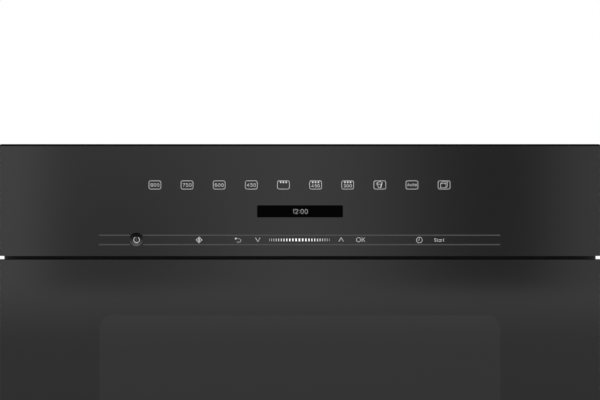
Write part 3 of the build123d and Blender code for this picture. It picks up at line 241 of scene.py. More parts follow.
def galvanised():
    """Zinc-coated sheet with a small, soft spangle."""
    finish = Finish("galvanised", metallic=1.0, specular_tint=(0.52, 0.53, 0.54, 1.0))
    spangle = finish.soft_cells(scale=150.0, smoothness=0.6)
    cloud = finish.noise(scale=5.0)
    finish.colour(finish.mix(spangle, (0.47, 0.49, 0.50), (0.56, 0.58, 0.59)))
    finish.rough(finish.math("MULTIPLY", spangle, cloud), low=0.40, high=0.54)
    return finish.bump(finish.noise(scale=900.0), strength=0.05).material


def black_steel():
    """Black enamel on steel, with a faint orange peel."""
    finish = Finish("black_steel")
    peel = finish.noise(scale=420.0)
    finish.colour(finish.mix(peel, grey(0.012), grey(0.020)))
    finish.rough(peel, low=0.26, high=0.36)
    return finish.bump(peel, strength=0.10, depth=0.2 * MM).material


def black_plastic(name, tone):
    """Moulded plastic with a fine spark-eroded grain."""
    finish = Finish(name)
    grain = finish.noise(scale=1500.0, detail=2.0)
    cloud = finish.noise(scale=25.0)
    dark, pale = [grey(tone * shade) for shade in PLASTIC_SHADES]
    finish.colour(finish.mix(cloud, dark, pale))
    finish.rough(grain, low=0.42, high=0.62)
    return finish.bump(grain, strength=0.18).material


def white_plastic():
    """Moulded white plastic that light enters a little."""
    finish = Finish("white_plastic", subsurface_weight=0.05)
    grain = finish.noise(scale=1100.0, detail=2.0)
    cloud = finish.noise(scale=30.0)
    finish.colour(finish.mix(cloud, (0.74, 0.74, 0.70), (0.82, 0.82, 0.79)))
    finish.rough(grain, low=0.38, high=0.52)
    return finish.bump(grain, strength=0.10).material


def clear_glass():
    """Clear glass with a trace of green."""
    finish = Finish("clear_glass", transmission_weight=1.0, ior=GLASS_IOR)
    haze = finish.noise(scale=18.0)
    finish.colour(finish.mix(haze, (0.90, 0.96, 0.94), (0.94, 0.98, 0.96)))
    return finish.rough(haze, low=0.01, high=0.05).material


def heater_tube():
    """Sheathed heater, oxidised unevenly along its length."""
    finish = Finish("heater_tube", metallic=0.7)
    patch = finish.noise(scale=60.0)
    finish.colour(finish.mix(patch, (0.055, 0.050, 0.048), (0.16, 0.145, 0.135)))
    finish.rough(patch, low=0.42, high=0.62)
    return finish.bump(finish.noise(scale=900.0), strength=0.15).material


def mica():
    """Pressed mica: pale brown flakes."""
    finish = Finish("mica")
    flakes = finish.cells(scale=260.0)
    cloud = finish.noise(scale=40.0)
    tone = finish.mix(flakes, (0.44, 0.36, 0.25), (0.66, 0.57, 0.42))
    finish.colour(finish.mix(cloud, tone, (0.58, 0.50, 0.37)))
    finish.rough(flakes, low=0.30, high=0.55)
    return finish.bump(flakes, strength=0.10).material


def ferrite():
    """Sintered magnet: dark grey and porous."""
    finish = Finish("ferrite", metallic=0.2)
    pores = finish.noise(scale=700.0, detail=4.0)
    finish.colour(finish.mix(pores, grey(0.05), grey(0.11)))
    finish.rough(pores, low=0.5, high=0.7)
    return finish.bump(pores, strength=0.25).material


def laminations():
    """A stack of varnished core sheets, edge on."""
    finish = Finish("core_steel", metallic=0.6)
    sheets = finish.waves(scale=450.0, direction="Y")
    cloud = finish.noise(scale=40.0)
    tone = finish.mix(sheets, (0.09, 0.085, 0.08), (0.24, 0.23, 0.215))
    finish.colour(finish.mix(cloud, tone, (0.17, 0.155, 0.14)))
    finish.rough(sheets, low=0.40, high=0.60)
    return finish.bump(sheets, strength=0.30, depth=0.2 * MM).material


def windings():
    """Enamelled copper wire, turn beside turn."""
    finish = Finish("copper", metallic=0.85)
    turns = finish.waves(scale=260.0, direction="Z", distortion=0.6)
    cloud = finish.noise(scale=60.0)
    tone = finish.mix(turns, (0.26, 0.10, 0.04), (0.66, 0.31, 0.14))
    finish.colour(finish.mix(cloud, tone, (0.50, 0.22, 0.10)))
    finish.rough(turns, low=0.28, high=0.45)
    return finish.bump(turns, strength=0.6, depth=0.4 * MM).material


def board_tracks(finish):
    """The pattern of copper under a circuit board's face: distances from the middles of its fields."""
    return finish.cells(scale=170.0, output="Distance", randomness=0.3)


def solder_mask(finish, tracks):
    """Green solder mask, paler round the fields."""
    share = finish.between(tracks, start=0.25, end=0.35)
    return finish.mix(share, (0.03, 0.16, 0.07), (0.05, 0.24, 0.11))


def circuit_board():
    """Solder mask over copper tracks."""
    finish = Finish("circuit_board")
    tracks = board_tracks(finish)
    finish.colour(solder_mask(finish, tracks))
    finish.rough(finish.noise(scale=600.0), low=0.28, high=0.42)
    return finish.bump(tracks, strength=0.2).material


# The power board's face above its feet, standoffs and board together, and how sharply its colours part
BOARD_RISE = 9.6 * MM
BOARD_EDGE = 0.2 * MM


def populated_board():
    """The power board: solder mask, with black relays on one half and pale parts on the other."""
    finish = Finish("populated_board")
    low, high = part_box("power_board")
    middle = (low.x + high.x) / 2
    face = low.z + BOARD_RISE
    axes = finish.axes(finish.place)
    half = finish.between(axes["X"], start=middle - BOARD_EDGE, end=middle + BOARD_EDGE)
    above = finish.between(axes["Z"], start=face, end=face + BOARD_EDGE)
    grain = finish.noise(scale=700.0)
    black = finish.mix(grain, grey(0.014), grey(0.024))
    pale = finish.mix(grain, (0.42, 0.37, 0.28), (0.50, 0.45, 0.35))
    mask = solder_mask(finish, board_tracks(finish))
    finish.colour(finish.mix(above, mask, finish.mix(half, black, pale)))
    return finish.rough(grain, low=0.30, high=0.45).material


# The door's screen: holes in a metre, and where a hole's edge lies, in shares of their spacing
HOLES_PER_METRE = 440.0
HOLE_EDGE = {"start": 0.22, "end": 0.42}


def screen_holes(finish):
    """The screen's close pattern of round holes: 0 in a hole and 1 between them."""
    dots = finish.cells(HOLES_PER_METRE, stretch=(1, 0, 1), output="Distance", randomness=0.0)
    return finish.between(dots, **HOLE_EDGE)


def perforated_screen():
    """The door's steel screen: a close pattern of round holes in black enamel."""
    finish = Finish("perforated_screen")
    holes = screen_holes(finish)
    finish.colour(finish.mix(holes, grey(0.004), grey(0.085)))
    return finish.rough(holes, low=0.55, high=0.40).material


# The window in the door's black glass, inside the edge of the screen
WINDOW_INSET = 14 * MM
WINDOW_CORNER = 12 * MM
WINDOW_FADE = 1.5 * MM


def window_glass():
    """Black door glass, tinted over the window so that the holes of the screen show faintly."""
    finish = Finish("window_glass", ior=GLASS_IOR)
    low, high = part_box("door_screen")
    axes = finish.axes(finish.place)
    squares = []
    for axis, start, end in (("X", low.x, high.x), ("Z", low.z, high.z)):
        away = finish.math("ABSOLUTE", finish.math("SUBTRACT", axes[axis], (start + end) / 2))
        edge = (end - start) / 2 - WINDOW_INSET - WINDOW_CORNER
        beyond = finish.math("MAXIMUM", finish.math("SUBTRACT", away, edge), 0.0)
        squares.append(finish.math("MULTIPLY", beyond, beyond))
    out = finish.math("SQRT", finish.math("ADD", *squares))
    window = finish.between(out, low=1.0, high=0.0, start=WINDOW_CORNER, end=WINDOW_CORNER + WINDOW_FADE)
    tint = finish.mix(screen_holes(finish), grey(0.0035), grey(0.011))
    finish.colour(finish.mix(window, glass_black(finish), tint))
    return finish.rough(glass_haze(finish), **GLASS_GLOSS).material


# Stainless steel: tones of the front frame and the oven, streaks along X or Y, and gloss
FRAME_STEEL = (0.60, 0.59, 0.57)
OVEN_STEEL = (0.76, 0.75, 0.73)
ALONG_X = (3, 1400, 1400)
ALONG_Y = (1400, 3, 1400)
STEEL_GLOSS = {"low": 0.26, "high": 0.38, "depth": 0.06 * MM}

FINISHES = {
    "black_glass": black_glass(),
    "display_black": display_black(),
    "clear_glass": clear_glass(),
    "stainless_steel": brushed("stainless_level", FRAME_STEEL, ALONG_X, **STEEL_GLOSS),
    "galvanised_steel": galvanised(),
    "black_steel": black_steel(),
    "black_plastic": black_plastic("black_plastic", tone=0.022),
    "white_plastic": white_plastic(),
    "hinge_steel": brushed("hinge_steel", (0.56, 0.56, 0.55), stretch=(500, 30, 500), low=0.28, high=0.46),
    "heater_tube": heater_tube(),
    "mica": mica(),
    "ferrite": ferrite(),
    "aluminium": brushed("aluminium", (0.78, 0.78, 0.79), stretch=(500, 25, 25), low=0.26, high=0.42),
    "core_steel": laminations(),
    "copper": windings(),
    "circuit_board": circuit_board(),
    "dark_plastic": black_plastic("dark_plastic", tone=0.05),
}
oven_side = brushed("stainless_side", OVEN_STEEL, ALONG_Y, **STEEL_GLOSS)
oven_level = brushed("stainless_cavity", OVEN_STEEL, ALONG_X, **STEEL_GLOSS)
OWN_FINISH = {
    "cavity_floor": oven_level,
    "cavity_ceiling": oven_level,
    "cavity_rear_wall": oven_level,
    "cavity_left_wall": oven_side,
    "cavity_right_wall": oven_side,
    "door_glass": window_glass(),
    "door_screen": perforated_screen(),
    "power_board": populated_board(),
}


def dress(piece, material):
    """Give a piece one material."""
    piece.data.materials.clear()
    piece.data.materials.append(material)


for row in frame["record"]["subparts"]:
    name = row["node"]
    dress(nodes[name], OWN_FINISH.get(name, FINISHES[row["material_slot"]]))

# Points that lie on each other are joined in two nodes: the bulb has a doubled one at its pole
WELD_REACH = 0.001 * MM
for name in ("door_screen", "lamp_bulb"):
    nodes[name].modifiers.new("weld", "WELD").merge_threshold = WELD_REACH

# A hair of air between the door's screen and the pane on it, which would otherwise share a plane
SCREEN_AIR = 0.1 * MM
shrink = nodes["door_screen"].modifiers.new("shrink", "DISPLACE")
shrink.mid_level = 0.0
shrink.strength = -SCREEN_AIR

# Prints on the fascia. A print is drawn in millimetres from the fascia's middle, X to the right and Z up.
# Each shape is a strip of quads or a filled polygon, made solid between two surfaces.
PRINT_PROUD = 0.03 * MM
PRINT_SUNK = 0.02 * MM
INK_FRAME = ink("ink_frame", 0.60)
INK_MARK = ink("ink_mark", 0.55)
INK_LEGEND = ink("ink_legend", 0.86)
INK_BRIGHT = ink("ink_bright", 0.72)
INK_LINE = ink("ink_line", 0.065)


def flat_face(across, up):
    """The glass front, everywhere at one depth."""
    return GLASS_FRONT


def display_face(across, up):
    """The front of the display's window."""
    return DISPLAY_FRONT


def arc(centre, radius, start, end, steps, squash=1.0):
    """Points along a circle or ellipse, from start to end in degrees."""
    turns = [radians(start + (end - start) * step / steps) for step in range(steps + 1)]
    return [(centre[0] + radius * cos(turn), centre[1] + radius * squash * sin(turn)) for turn in turns]


def ring(centre, radius, squash=1.0, steps=20):
    """Points round a circle or ellipse, the first not repeated."""
    return arc(centre, radius, 0, 360, steps, squash)[:-1]


def rounded(width, height, radius, steps):
    """The outline of a rectangle with round corners, about the origin."""
    outline = []
    for quarter, (side, rise) in enumerate(((1, 1), (-1, 1), (-1, -1), (1, -1))):
        corner = (side * (width / 2 - radius), rise * (height / 2 - radius))
        outline += arc(corner, radius, quarter * 90, quarter * 90 + 90, steps)
    return outline


# Plain letters and figures as strokes: a width, then open and closed paths, all in capital heights
GLYPH_GAP = 0.30
GLYPH_MIDDLE = 0.5
GLYPHS = {
    "0": (0.62, [], [ring((0.31, 0.5), 0.31, 0.5 / 0.31)]),
    "1": (0.16, [[(0.0, 0.88), (0.16, 1.0), (0.16, 0.0)]], []),
    "2": (0.60, [arc((0.30, 0.70), 0.30, 170, -30, 10) + [(0.0, 0.0), (0.62, 0.0)]], []),
    "3": (0.56, [arc((0.28, 0.75), 0.25, 140, -90, 10), arc((0.28, 0.25), 0.27, 90, -140, 10)], []),
    "4": (0.66, [[(0.50, 0.0), (0.50, 1.0), (0.0, 0.27), (0.66, 0.27)]], []),
    "5": (0.60, [[(0.55, 1.0), (0.12, 1.0)] + arc((0.29, 0.32), 0.31, 125, -150, 12)], []),
    "6": (0.62, [[(0.0, 0.34)] + arc((0.31, 0.69), 0.31, 180, 50, 9)], [ring((0.31, 0.30), 0.31)]),
    "7": (0.60, [[(0.0, 1.0), (0.60, 1.0), (0.2, 0.0)]], []),
    "9": (0.62, [[(0.62, 0.66)] + arc((0.31, 0.31), 0.31, 0, -130, 9)], [ring((0.31, 0.70), 0.31)]),
    ":": (0.06, [[(0.03, 0.20), (0.03, 0.32)], [(0.03, 0.68), (0.03, 0.80)]], []),
    "A": (0.74, [[(0.0, 0.0), (0.37, 1.0), (0.74, 0.0)], [(0.14, 0.32), (0.60, 0.32)]], []),
    "K": (0.66, [[(0.0, 0.0), (0.0, 1.0)], [(0.62, 1.0), (0.02, 0.40)], [(0.2, 0.58), (0.66, 0.0)]], []),
    "O": (0.84, [], [ring((0.42, 0.5), 0.42, 0.5 / 0.42)]),
    "S": (0.58, [arc((0.29, 0.75), 0.25, 25, 270, 10)[:-1] + arc((0.29, 0.25), 0.25, 90, -155, 10)], []),
    "a": (0.56, [[(0.56, 0.70), (0.56, 0.0)]], [ring((0.28, 0.34), 0.28, 0.34 / 0.28)]),
    "o": (0.58, [], [ring((0.29, 0.34), 0.29, 0.34 / 0.29)]),
    "r": (0.34, [[(0.0, 0.70), (0.0, 0.0)], arc((0.27, 0.40), 0.27, 180, 70, 6)], []),
    "t": (0.40, [[(0.16, 0.95)] + arc((0.32, 0.16), 0.16, 180, 290, 5), [(0.0, 0.68), (0.40, 0.68)]], []),
    "u": (0.52, [[(0.0, 0.70)] + arc((0.26, 0.26), 0.26, 180, 360, 8), [(0.52, 0.70), (0.52, 0.0)]], []),
}


def piece_from(mesh, name, material):
    """Turn a finished bmesh into a piece that rides on the chassis."""
    bmesh.ops.recalc_face_normals(mesh, faces=mesh.faces)
    data = bpy.data.meshes.new(name)
    mesh.to_mesh(data)
    mesh.free()
    piece = bpy.data.objects.new(name, data)
    bpy.context.scene.collection.objects.link(piece)
    dress(piece, material)
    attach(piece, "chassis")
    return piece


# A path's shortest step that has a direction, and its sharpest corner that gets a full point, as the
# cosine of half its turn
SHORTEST_STEP_MM = 1e-9
SHARPEST_CORNER = 0.5


class Print:
    """One print: shapes are added in millimetres, then made into a piece."""

    def __init__(self, name, material, surface=flat_face, origin=(0.0, 0.0)):
        self.name = name
        self.material = material
        self.surface = surface
        self.origin = origin
        self.mesh = bmesh.new()

    def point(self, across, up, lift):
        x = (across + self.origin[0]) * MM
        z = (up + self.origin[1]) * MM + FASCIA_MIDDLE
        depth = self.surface(across + self.origin[0], up + self.origin[1])
        return self.mesh.verts.new((x, depth - lift, z))

    def solid(self, loop):
        """A filled polygon, its corners in order."""
        front = [self.point(*corner, PRINT_PROUD) for corner in loop]
        back = [self.point(*corner, -PRINT_SUNK) for corner in loop]
        self.mesh.faces.new(front)
        self.mesh.faces.new(reversed(back))
        for index in range(len(loop)):
            after = (index + 1) % len(loop)
            self.mesh.faces.new((front[index], back[index], back[after], front[after]))

    def stroke(self, path, width, closed=False):
        """A line of even width along a path."""
        count = len(path)
        sides = []
        for index, (x, z) in enumerate(path):
            before = path[index - 1] if closed or index else path[index]
            after = path[(index + 1) % count] if closed or index < count - 1 else path[index]
            normals = []
            for (x0, z0), (x1, z1) in ((before, (x, z)), ((x, z), after)):
                length = hypot(x1 - x0, z1 - z0)
                if length > SHORTEST_STEP_MM:
                    normals.append(Vector((-(z1 - z0) / length, (x1 - x0) / length)))
            normal = sum(normals, Vector((0, 0))).normalized()
            reach = width / 2 / max(SHARPEST_CORNER, normal.dot(normals[0]))
            sides.append(((x + normal.x * reach, z + normal.y * reach),
                          (x - normal.x * reach, z - normal.y * reach)))
        rows = [[self.point(*left, PRINT_PROUD), self.point(*right, PRINT_PROUD),
                 self.point(*right, -PRINT_SUNK), self.point(*left, -PRINT_SUNK)] for left, right in sides]
        for index in range(count if closed else count - 1):
            here, there = rows[index], rows[(index + 1) % count]
            for side in range(len(here)):
                beside = (side + 1) % len(here)
                self.mesh.faces.new((here[side], here[beside], there[beside], there[side]))
        if not closed:
            self.mesh.faces.new(rows[0])
            self.mesh.faces.new(reversed(rows[-1]))

    def words(self, letters, height, width, weight, rise=0.0):
        """Letters in strokes of one weight. Height and width are those of the strokes' middles."""
        total = sum(GLYPHS[letter][0] for letter in letters) + GLYPH_GAP * (len(letters) - 1)
        scale = width / total
        left = -width / 2
        for letter in letters:
            wide, open_paths, closed_paths = GLYPHS[letter]
            for paths, closed in ((open_paths, False), (closed_paths, True)):
                for path in paths:
                    placed = [(left + x * scale, rise + (z - GLYPH_MIDDLE) * height) for x, z in path]
                    self.stroke(placed, weight, closed)
            left += (wide + GLYPH_GAP) * scale

    def finish(self):
        piece_from(self.mesh, self.name, self.material)


# Sensor keys along the top
KEY_PITCH_MM = 31.80
KEY_ROW_MM = (-0.5, 14.9)
KEY_SIZE_MM = (11.8, 8.2)
KEY_CORNER_MM = 1.7
KEY_CORNER_STEPS = 5
KEY_STROKE_MM = 0.50
LEGEND_MM = {"height": 3.0, "width": 8.5, "weight": 0.30, "rise": -0.1}
LOW_LEGEND_MM = {"height": 2.6, "width": 8.1, "weight": 0.30, "rise": -0.9}
AUTO_LEGEND_MM = {"height": 3.0, "width": 9.0, "weight": 0.31, "rise": 0.35}

# The points that stand for radiant heat: height, half widths at root and tip, spacing and upper edge
TOOTH_MM = 1.7
TOOTH_ROOT_MM = TOOTH_MM / 2
TOOTH_TIP_MM = TOOTH_MM / 3
TOOTH_PITCH_MM = 2.8
TOOTH_TOP_MM = 3.45


def teeth(drawing):
    """Three downward points inside a key's upper edge: radiant heat from above."""
    low = TOOTH_TOP_MM - TOOTH_MM
    for middle in (-TOOTH_PITCH_MM, 0.0, TOOTH_PITCH_MM):
        drawing.solid([(middle - TOOTH_ROOT_MM, TOOTH_TOP_MM), (middle - TOOTH_TIP_MM, low),
                       (middle + TOOTH_TIP_MM, low), (middle + TOOTH_ROOT_MM, TOOTH_TOP_MM)])


def mug(drawing):
    """A tapered mug seen a little from above, shaded on the right and with its handle on the left."""
    drawing.stroke(ring((-0.1, 1.9), 2.5, squash=0.50, steps=24), width=0.31, closed=True)
    drawing.stroke([(-2.3, 1.3), (-2.1, -0.9), (-1.2, -2.5), (0.4, -3.0)], width=0.34)
    drawing.stroke([(2.0, 1.0), (1.3, -0.6), (0.9, -2.9)], width=0.70)
    drawing.stroke(arc((-2.5, 1.0), 1.0, 110, 250, steps=8), width=0.22)


def parcel(drawing):
    """A box seen a little from above."""
    drawing.stroke([(-3.45, -2.8), (1.9, -2.8), (1.9, 1.5), (-3.45, 1.5)], width=0.33, closed=True)
    drawing.stroke([(-3.45, 1.5), (-1.9, 3.05), (3.3, 3.05), (3.3, -1.3), (1.9, -2.8)], width=0.28)
    drawing.stroke([(1.9, 1.5), (3.3, 3.05)], width=0.20)


KEY_LEGENDS = ("900", "750", "600", "450", "", "450", "300", "", "Auto", "")
KEY_TEETH = (4, 5, 6)
KEY_PICTURES = {7: mug, 9: parcel}
KEY_CENTRE = (len(KEY_LEGENDS) - 1) / 2
for index, letters in enumerate(KEY_LEGENDS):
    centre = (KEY_ROW_MM[0] + (index - KEY_CENTRE) * KEY_PITCH_MM, KEY_ROW_MM[1])
    key = Print(f"key_frame_{index + 1}", INK_FRAME, origin=centre)
    key.stroke(rounded(*KEY_SIZE_MM, KEY_CORNER_MM, KEY_CORNER_STEPS), KEY_STROKE_MM, closed=True)
    key.finish()
    if index in KEY_TEETH:
        heat = Print(f"key_heat_{index + 1}", INK_BRIGHT, origin=centre)
        teeth(heat)
        heat.finish()
    if not letters and index not in KEY_PICTURES:
        continue
    legend = Print(f"key_legend_{index + 1}", INK_LEGEND, origin=centre)
    if index in KEY_PICTURES:
        KEY_PICTURES[index](legend)
    elif index in KEY_TEETH:
        legend.words(letters, **LOW_LEGEND_MM)
    elif letters.isdigit():
        legend.words(letters, **LEGEND_MM)
    else:
        legend.words(letters, **AUTO_LEGEND_MM)
    legend.finish()

# Two lines along the bottom, broken round the dished on/off zone
LINE_HEIGHTS_MM = (-34.85, -44.15)
LINE_SPANS_MM = ((-199.0, -168.4), (-155.2, 198.2))
LINE_STROKE_MM = 1.15
lines = Print("guide_lines", INK_LINE)
for height in LINE_HEIGHTS_MM:
    for left, right in LINE_SPANS_MM:
        lines.stroke([(left, height), (right, height)], LINE_STROKE_MM)
lines.finish()

# The on/off zone: a dish in the glass, and the painted shade at its top and painted light at its foot
DISH_MM = (-162.0, -39.0)
DISH_RADIUS_MM = 6.8
DISH_DEPTH_MM = 1.5
DISH_BALL_MM = (DISH_RADIUS_MM**2 + DISH_DEPTH_MM**2) / (2 * DISH_DEPTH_MM)
DISH_PAINTED_SHADE_AND_LIGHT = (grey(0.003), grey(0.105))
DISH_PAINTED_SHADE_GRADE = 2.2

# Its satin lining, a sheet laid over the dish to carry painted shade and painted light: how thick it is at
# the dish's rim, how much thicker at the middle, and its mesh
LINING_RIM_MM = 0.03
LINING_CROWN_MM = 0.16
LINING_MARGIN_MM = 0.05
LINING_RADIUS_MM = DISH_RADIUS_MM - LINING_MARGIN_MM
LINING_RINGS = 12
LINING_STEPS = 64


def dish_face(across, up):
    """The hollow of the on/off zone, a shallow part of a ball."""
    out = hypot(across - DISH_MM[0], up - DISH_MM[1])
    rise = DISH_BALL_MM - sqrt(DISH_BALL_MM**2 - out**2)
    return GLASS_FRONT + (DISH_DEPTH_MM - rise) * MM


def lining_face(across, up):
    """The front of the lining, which thins towards the rim of the dish."""
    share = hypot(across - DISH_MM[0], up - DISH_MM[1]) / DISH_RADIUS_MM
    thick = LINING_CROWN_MM * (1 - share**2) + LINING_RIM_MM
    return dish_face(across, up) - thick * MM


def satin_glass_with_painted_shade():
    """Etched glass with painted shade and painted light in its colour: black at the top of the dish and
    grey at its foot.
    """
    finish = Finish("satin_glass_with_painted_shade", specular=0.05)
    middle = FASCIA_MIDDLE + DISH_MM[1] * MM
    reach = DISH_RADIUS_MM * MM
    height = finish.axes(finish.place)["Z"]
    # Painted shade: the colour darkens towards the top of the dish and pales towards its foot
    painted_shade_share = finish.between(height, low=1.0, high=0.0, start=middle - reach, end=middle + reach)
    finish.colour(finish.mix(finish.math("POWER", painted_shade_share, DISH_PAINTED_SHADE_GRADE), *DISH_PAINTED_SHADE_AND_LIGHT))
    return finish.rough(finish.noise(scale=2600.0), low=0.30, high=0.38).material


def round_sheet(mesh, face):
    """A round sheet over the dish, on a face. Returns its rim."""
    middle = (DISH_MM[0] * MM, face(*DISH_MM), DISH_MM[1] * MM + FASCIA_MIDDLE)
    rows = [[mesh.verts.new(middle)]]
    for step in range(1, LINING_RINGS + 1):
        out = LINING_RADIUS_MM * step / LINING_RINGS
        rows.append([mesh.verts.new((x * MM, face(x, z), z * MM + FASCIA_MIDDLE))
                     for x, z in ring(DISH_MM, out, steps=LINING_STEPS)])
    for inner, outer in zip(rows, rows[1:]):
        for turn in range(LINING_STEPS):
            after = (turn + 1) % LINING_STEPS
            if len(inner) == 1:
                mesh.faces.new((inner[0], outer[turn], outer[after]))
            else:
                mesh.faces.new((inner[turn], outer[turn], outer[after], inner[after]))
    return rows[-1]


# The lining is a sheet that carries the dish's painted shade and painted light
lining = bmesh.new()
front_rim, back_rim = [round_sheet(lining, face) for face in (lining_face, dish_face)]
for turn in range(LINING_STEPS):
    after = (turn + 1) % LINING_STEPS
    lining.faces.new((front_rim[turn], back_rim[turn], back_rim[after], front_rim[after]))
for face in lining.faces:
    face.smooth = True
piece_from(lining, "dish_painted_shade_sheet", satin_glass_with_painted_shade())

# Marks beside each other between the two lines: how high they stand, and each one's place across
MARK_HEIGHT_MM = -39.5
POWER_MM = DISH_MM[0] + 0.2
PROGRAM_MM = -99.9
BACK_MM = -61.3
CHEVRONS_MM = {"down_mark": -41.8, "up_mark": 40.7}
SLIDER_MM = -0.6
ACCEPT_MM = 60.2
CLOCK_MM = 118.1
START_MM = 137.8


def mark(name, across, material=INK_LEGEND, surface=flat_face, rise=0.0):
    """A print among the marks, raised a little where its form needs it."""
    return Print(name, material, surface, origin=(across, MARK_HEIGHT_MM + rise))


# On and off: a ring, open by so many degrees on both sides of its top, with a fine stem in short steps
# that follow the lining
POWER_RADIUS_MM = 2.85
POWER_GAP = 27
STEM_LOW_MM = -0.8
STEM_STEP_MM = 0.4
STEM_POINTS = 10
power = mark("power_mark", POWER_MM, surface=lining_face)
power.stroke(arc((0, 0), POWER_RADIUS_MM, 90 + POWER_GAP, 450 - POWER_GAP, steps=40), width=0.43)
power.stroke([(0, step * STEM_STEP_MM + STEM_LOW_MM) for step in range(STEM_POINTS)], width=0.07)
power.finish()

# Programs: a diamond with a bar
DIAMOND_MM = 2.8
DIAMOND_BAR_MM = 2.3
diamond = mark("program_mark", PROGRAM_MM, INK_MARK)
diamond.stroke(ring((0, 0), DIAMOND_MM, steps=4), width=0.70, closed=True)
diamond.stroke([(0, -DIAMOND_BAR_MM), (0, DIAMOND_BAR_MM)], width=1.45)
diamond.finish()

# Back: an arrow that turns round
BEND_MM = (1.1, -0.45)
BEND_RADIUS_MM = 1.65
bend = arc(BEND_MM, BEND_RADIUS_MM, 90, -90, steps=12)
back = mark("back_mark", BACK_MM)
back.stroke([(-2.2, bend[0][1]), *bend, (-1.2, bend[-1][1])], width=0.22)
back.solid([(-3.4, 1.25), (-1.7, 2.6), (-1.7, 0.0)])
back.finish()

# Down and up: chevrons
CHEVRON_HALF_MM = 2.3
CHEVRON_TALL_MM = 1.95
for name, turn in (("down_mark", -1), ("up_mark", 1)):
    chevron = mark(name, CHEVRONS_MM[name], rise=0.3)
    tip = CHEVRON_TALL_MM * turn
    chevron.stroke([(-CHEVRON_HALF_MM, -tip), (0, tip), (CHEVRON_HALF_MM, -tip)], width=0.35)
    chevron.finish()

# Slider: bars that grow thinner, closer together and dimmer from the middle
SLIDER_BARS = 11
SLIDER_HALF_MM = 29.6
SLIDER_CROWD = 0.24
SLIDER_TALL_MM = 2.7
SLIDER_BAR_MM = (1.5, 0.25)
SLIDER_LIGHT = (0.98, 0.55)
SLIDER_GLOW = 0.40
for side in range(-SLIDER_BARS, SLIDER_BARS + 1):
    share = abs(side) / SLIDER_BARS
    place = SLIDER_HALF_MM * (side / SLIDER_BARS) * (1 + SLIDER_CROWD * (1 - share))
    width = SLIDER_BAR_MM[0] + (SLIDER_BAR_MM[1] - SLIDER_BAR_MM[0]) * share
    light = SLIDER_LIGHT[0] + (SLIDER_LIGHT[1] - SLIDER_LIGHT[0]) * share
    label = f"slider_bar_{side + SLIDER_BARS + 1}"
    bar = mark(label, SLIDER_MM, lit_ink(label, light, SLIDER_GLOW))
    bar.stroke([(place, -SLIDER_TALL_MM / 2), (place, SLIDER_TALL_MM / 2)], width)
    bar.finish()

# Accept, clock and start
accept = mark("accept_mark", ACCEPT_MM)
accept.words("OK", height=4.4, width=8.6, weight=0.34, rise=0.15)
accept.finish()

CLOCK_RADIUS_MM = 2.85
clock = mark("clock_mark", CLOCK_MM, rise=-0.1)
clock.stroke(ring((0, 0), CLOCK_RADIUS_MM, steps=36), width=0.34, closed=True)
clock.stroke([(-1.5, 0), (0, 0), (0, 1.9)], width=0.32)
clock.finish()

start = mark("start_mark", START_MM)
start.words("Start", height=3.2, width=9.7, weight=0.33, rise=-0.1)
start.finish()

# Figures of the clock, on the display's window
DIGITS_MM = (0.35, -11.35)
digits = Print("clock_digits", lit_ink("digit_light", 0.38, strength=0.55), display_face, DIGITS_MM)
digits.words("12:00", height=4.4, width=14.4, weight=0.30)
digits.finish()

# Hexagon-head screws with a pressed washer on the casing: rings of (radius, height) in millimetres
WASHER_RINGS_MM = ((4.3, -0.2), (4.3, 0.7), (3.9, 1.0))
WASHER_STEPS = 28
HEAD_RINGS_MM = ((3.2, 0.8), (3.2, 2.6), (2.8, 3.0), (1.8, 3.0), (1.3, 2.5))
HEAD_STEPS = 6
SCREW_TURN = radians(17)


def stack(mesh, place, rings, steps):
    """A closed turned or many-sided form: rings in order, capped at both ends."""
    rows = []
    for radius, height in rings:
        outline = ring((0, 0), radius, steps=steps)
        rows.append([mesh.verts.new(place @ Vector((x * MM, y * MM, height * MM))) for x, y in outline])
    mesh.faces.new(reversed(rows[0]))
    mesh.faces.new(rows[-1])
    for lower, upper in zip(rows, rows[1:]):
        for step in range(steps):
            after = (step + 1) % steps
            mesh.faces.new((lower[step], lower[after], upper[after], upper[step]))


def screws(name, facing, points):
    """One piece of screws whose heads point along facing, each turned a little further."""
    mesh = bmesh.new()
    turn = Vector((0, 0, 1)).rotation_difference(Vector(facing)).to_matrix().to_4x4()
    for count, point in enumerate(points):
        place = Matrix.Translation(point) @ turn @ Matrix.Rotation(SCREW_TURN * count, 4, "Z")
        stack(mesh, place, WASHER_RINGS_MM, WASHER_STEPS)
        stack(mesh, place, HEAD_RINGS_MM, HEAD_STEPS)
    piece_from(mesh, name, FINISHES["hinge_steel"])


# Screws stand this far inside an edge, at these shares of its length
SCREW_INSET = 8 * MM
REAR_SHARES = (0.04, 0.34, 0.66, 0.96)
COVER_SHARES = (0.06, 0.50, 0.94)
SIDE_SHARES = (0.08, 0.36, 0.64, 0.92)
SIDE_SHEET = 1 * MM

rear_low, rear_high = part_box("rear_panel")
rear_side = rear_high.x - SCREW_INSET
screws("rear_screws", facing=(0, 1, 0),
       points=[(side * rear_side, rear_high.y, rear_low.z + share * (rear_high.z - rear_low.z))
               for side in (-1, 1) for share in REAR_SHARES])

cover_low, cover_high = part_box("top_cover")
cover_side = cover_high.x - SCREW_INSET
screws("cover_screws", facing=(0, 0, 1),
       points=[(side * cover_side, cover_low.y + share * (cover_high.y - cover_low.y), cover_high.z)
               for side in (-1, 1) for share in COVER_SHARES])

base_low, base_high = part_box("base_plate")
panel_side = base_high.x + SIDE_SHEET
screw_height = base_low.z + SCREW_INSET
for label, side in (("left", -1), ("right", 1)):
    screws(f"{label}_side_screws", facing=(side, 0, 0),
           points=[(side * panel_side, base_low.y + share * (base_high.y - base_low.y), screw_height)
                   for share in SIDE_SHARES])

# Stage: a pale floor that brightens towards its edge
FLOOR_RADIUS = 6.0
FLOOR_FADE = 1.5
FLOOR_STEPS = 96


